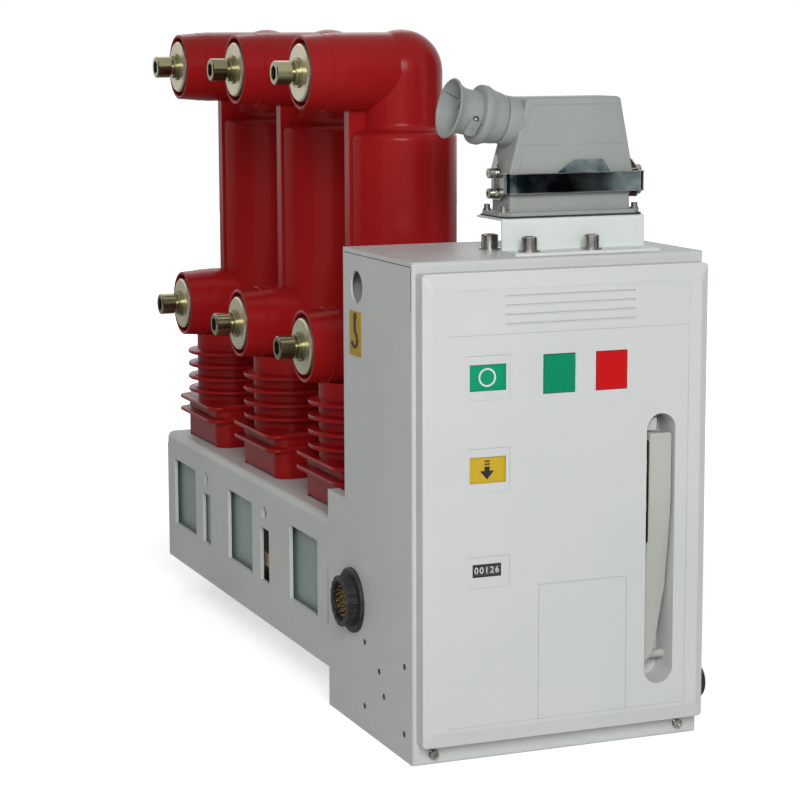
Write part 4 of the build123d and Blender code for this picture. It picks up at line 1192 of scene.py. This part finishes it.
    def _locking_lever(self) -> None:
        """The polished locking lever: a bent band, its raised tab, an arm plate at each end, and bright bars
        along the band's edges as a painted highlight.
        """
        low, high = self.lever_low, self.lever_low + self.lever_height
        corner = 8.0
        path: list[tuple[float, float]] = [(-self.lever_half, 6.0)]
        inner = self.lever_half - corner
        for middle, begin in ((-inner, math.pi), (inner, 1.5 * math.pi)):
            for step in range(9):
                angle = begin + step * math.pi / 16
                depth = corner + corner * math.sin(angle) - self.lever_front
                path.append((middle + corner * math.cos(angle), depth))
        path.append((self.lever_half, 6.0))
        path = [(x + self.lever_shift, y) for x, y in path]
        rows = []
        for index, (x, y) in enumerate(path):
            before = Vector(path[max(index - 1, 0)])
            after = Vector(path[min(index + 1, len(path) - 1)])
            heading = (after - before).normalized()
            normal = Vector((-heading.y, heading.x)) * self.lever_sheet
            row = [(x, y, low), (x, y, low + 1.0), (x, y, high - 1.0), (x, y, high)]
            row += [(x + normal.x, y + normal.y, high), (x + normal.x, y + normal.y, low)]
            rows.append([self._at(*spot) for spot in row])
        form = Form().skin(rows)
        tab = [(-23.5, 0.0), (34.5, 0.0), (33.0, 1.0), (28.2, 11.4), (26.4, 12.8)]
        tab += [(-2.5, 12.8), (-4.6, 11.8), (-21.8, 0.8)]
        tilt = Matrix.Rotation(math.radians(-14), 4, "X")
        root = self._at(self.lever_shift, self.lever_sheet - self.lever_front, high - 0.5)
        form.plate(tab, self.lever_sheet, facing(root, Side.FRONT) @ tilt)
        form.publish("locking_lever_band", DARK_STEEL_WITH_REFLECTION, "zinc_steel", "locking_lever", "locking_lever")
        arms = Form()
        for side in (Side.LEFT, Side.RIGHT):
            outward = side.value[0][0]
            spot = self._at(self.lever_shift + outward * (self.lever_half - self.lever_sheet), 0, 0)
            arm = [(-16, 486), (-8, 478), (9, 477), (12, 484), (12, 503), (9, 512), (4, 520), (1, 519)]
            arm += [(0, 511), (-8, 504), (-16, 502)]
            if outward > 0:
                arm = [(-16, 486), (-8, 478), (9, 477), (14, 484), (16, 506), (12, 516), (2, 513), (-16, 502)]
            self._plate_at_level(arms, arm, facing(spot, side))
        arms.publish("locking_lever_arms", BRIGHT_ZINC, "zinc_steel", "locking_lever")
        # Bright zinc bars along the band's upper and lower edges: a painted highlight on the polished edges.
        edge = Form()
        for level in (low, high):
            edge.band([self._at(x, y, level) for x, y in path], 0.5, 6)
        edge.publish("locking_lever_edge_highlight", BRIGHT_ZINC, "zinc_steel", "locking_lever")

    def _plate_at_level(self, form: Form, outline: list[tuple[float, float]], local: Matrix) -> None:
        """Add an arm plate whose outline is given by its heights.

        Args:
            form: The form that the plate joins.
            outline: Sideways places and heights.
            local: Local frame of the side, at the connector's middle.
        """
        turned = local.to_3x3()
        up = turned.inverted() @ Vector((0, 0, 1))
        ahead = turned.inverted() @ Vector((0, 1, 0))
        points = [(ahead.x * y + up.x * z, ahead.y * y + up.y * z) for y, z in outline]
        form.plate(points, self.lever_sheet, local, 0.0, 0.3)

    def _bushes(self) -> None:
        """Bright bushes on the pivots and pegs at both ends."""
        fixed = Form()
        for side in (Side.LEFT, Side.RIGHT):
            outward = side.value[0][0]
            for level in (self.pivot_level, self.peg_level):
                place = facing(self._at(self.lever_shift + outward * self.lever_half, 2.0, level), side)
                rings = [(2.6, -6.0), (4.0, -6.0), (4.0, 0.2), (4.8, 0.5), (4.8, 7.4), (4.2, 8.0), (2.0, 8.0)]
                fixed.turn(rings + [(2.0, 6.4), (0, 6.4)], place, 32)
        fixed.publish("locking_lever_bushes", BRIGHT_ZINC, "zinc_steel")


@dataclass
class Studio:
    """Camera, lights, floor and background."""

    location: tuple[float, float, float] = (-0.9444, -2.4492, 0.6367)
    yaw: float = 21.928
    pitch: float = 8.924
    roll: float = -0.193
    focal: float = 106.28
    sensor: float = 36.0
    floor_half: float = 6.0
    surround: float = 0.20
    aim: tuple[float, float, float] = (0.0, -0.2, 0.3)
    lamps: tuple[Lamp, ...] = (
        ("key_light", (-1.05, -3.2, 1.7), (1.6, 1.2), 70.0),
        ("fill_light", (2.8, -2.0, 1.2), (2.0, 2.0), 9.0),
        ("rim_light", (0.5, 3.0, 2.6), (2.5, 1.5), 12.0),
    )
    cards: tuple[Card, ...] = (
        ("left_flag", (-2.6, -0.4, 0.9), (0.0, 1.3, 1.5)),
        ("right_flag", (2.6, -1.2, 0.9), (0.0, 1.2, 1.5)),
        ("front_flag", (1.5, -3.6, 0.4), (0.45, 0.0, 1.2)),
    )

    def build(self) -> None:
        """Set up the whole studio."""
        self._camera()
        self._floor()
        self._world()
        for lamp in self.lamps:
            self._lamp(*lamp)
        for card in self.cards:
            self._card(*card)
        bpy.context.scene.view_settings.view_transform = "Standard"

    def _camera(self) -> None:
        """Put the camera where the photo was taken from."""
        data = bpy.data.cameras.new("view")
        data.lens = self.focal
        data.sensor_width = self.sensor
        data.clip_end = 50.0
        camera = bpy.data.objects.new("view", data)
        yaw, pitch = math.radians(self.yaw), math.radians(self.pitch)
        heading = Vector((math.sin(yaw) * math.cos(pitch), math.cos(yaw) * math.cos(pitch), -math.sin(pitch)))
        turned = heading.to_track_quat("-Z", "Y").to_matrix().to_4x4()
        roll = Matrix.Rotation(math.radians(self.roll), 4, "Z")
        camera.matrix_world = Matrix.Translation(self.location) @ turned @ roll
        bpy.context.scene.collection.objects.link(camera)
        bpy.context.scene.camera = camera

    @staticmethod
    def _sheet(name: str, corners: Spots, grey: float) -> tuple[bpy.types.Object, bpy.types.NodeTree]:
        """Add a flat sheet that belongs to the studio.

        Args:
            name: The sheet's name.
            corners: Its four corners in metres.
            grey: Its colour.

        Returns:
            The sheet and its material's shader tree.
        """
        data = bpy.data.meshes.new(name)
        data.from_pydata(corners, [], [(0, 1, 2, 3)])
        sheet = bpy.data.objects.new(name, data)
        bpy.context.scene.collection.objects.link(sheet)
        made = bpy.data.materials.new(name)
        made.use_nodes = True
        made.node_tree.nodes["Principled BSDF"].inputs["Base Color"].default_value = (grey, grey, grey, 1)
        data.materials.append(made)
        return sheet, made.node_tree

    def _floor(self) -> None:
        """A plain pale floor under the object, which brightens with the distance."""
        half, level = self.floor_half, CAD_BOX[0][2]
        corners = [(-half, -half, level), (half, -half, level), (half, half, level), (-half, half, level)]
        tree = self._sheet("floor", corners, 0.88)[1]
        shader = tree.nodes["Principled BSDF"]
        shader.inputs["Roughness"].default_value = 0.9
        shader.inputs["Emission Color"].default_value = (1, 1, 1, 1)
        path = node_of(tree, "LightPath")
        place = node_of(tree, "TexCoord")
        away = node_of(tree, "VectorMath", operation="LENGTH")
        fade = node_of(tree, "MapRange", From_Min=0.5, From_Max=1.6, To_Min=0.62, To_Max=1.2)
        share = node_of(tree, "Math", operation="MULTIPLY")
        link(place, "Object", away, 0)
        link(away, "Value", fade, "Value")
        link(fade, "Result", share, 1)
        link(path, "Is Camera Ray", share, 0)
        link(share, 0, shader, "Emission Strength")

    def _card(self, name: str, spot: Triple, half: Triple) -> None:
        """Hang a dark studio card that only reflections show.

        Args:
            name: The card's name.
            spot: Its middle, in metres.
            half: Its half sizes along the axes, one of which is nought.
        """
        across, up, middle = Vector((half[0], half[1], 0)), Vector((0, 0, half[2])), Vector(spot)
        corners = [middle - across - up, middle + across - up, middle + across + up, middle - across + up]
        card = self._sheet(name, corners, 0.02)[0]
        card.visible_camera = False
        card.visible_diffuse = False
        card.visible_shadow = False
        card.visible_transmission = False

    def _world(self) -> None:
        """Soft surrounding light, with white for what the camera and glossy surfaces see."""
        world = bpy.data.worlds.new("studio")
        bpy.context.scene.world = world
        world.use_nodes = True
        tree = world.node_tree
        light = tree.nodes["Background"]
        light.inputs["Color"].default_value = (0.97, 0.98, 1.0, 1)
        light.inputs["Strength"].default_value = self.surround
        seen = node_of(tree, "Background", Color=(1, 1, 1, 1), Strength=1.0)
        path = node_of(tree, "LightPath")
        either = node_of(tree, "Math", operation="MAXIMUM")
        clear = node_of(tree, "Math", operation="MAXIMUM")
        blend = node_of(tree, "MixShader")
        link(path, "Is Camera Ray", either, 0)
        link(path, "Is Glossy Ray", either, 1)
        link(either, 0, clear, 0)
        link(path, "Is Transmission Ray", clear, 1)
        link(clear, 0, blend, 0)
        link(light, 0, blend, 1)
        link(seen, 0, blend, 2)
        link(blend, 0, tree.nodes["World Output"], "Surface")

    def _lamp(self, name: str, spot: Triple, size: tuple[float, float], power: float) -> None:
        """Add a soft rectangular lamp that points at the object.

        Args:
            name: The lamp's name.
            spot: Where it hangs, in metres.
            size: Its width and height.
            power: Its power in watts.
        """
        data = bpy.data.lights.new(name, "AREA")
        data.shape = "RECTANGLE"
        data.size, data.size_y = size
        data.energy = power
        lamp = bpy.data.objects.new(name, data)
        lamp.location = spot
        lamp.rotation_euler = (Vector(self.aim) - Vector(spot)).to_track_quat("-Z", "Y").to_euler()
        bpy.context.scene.collection.objects.link(lamp)


def main() -> None:
    """Build every sub-assembly in order."""
    logging.basicConfig(level=logging.INFO)
    CarriedNodes().dress()
    parts = (MechanismBox, FrontCover, SideFittings, ChargingLever, Poles, Base, Connector, Studio)
    for part in parts:
        part().build()


if __name__ == "__main__":
    main()
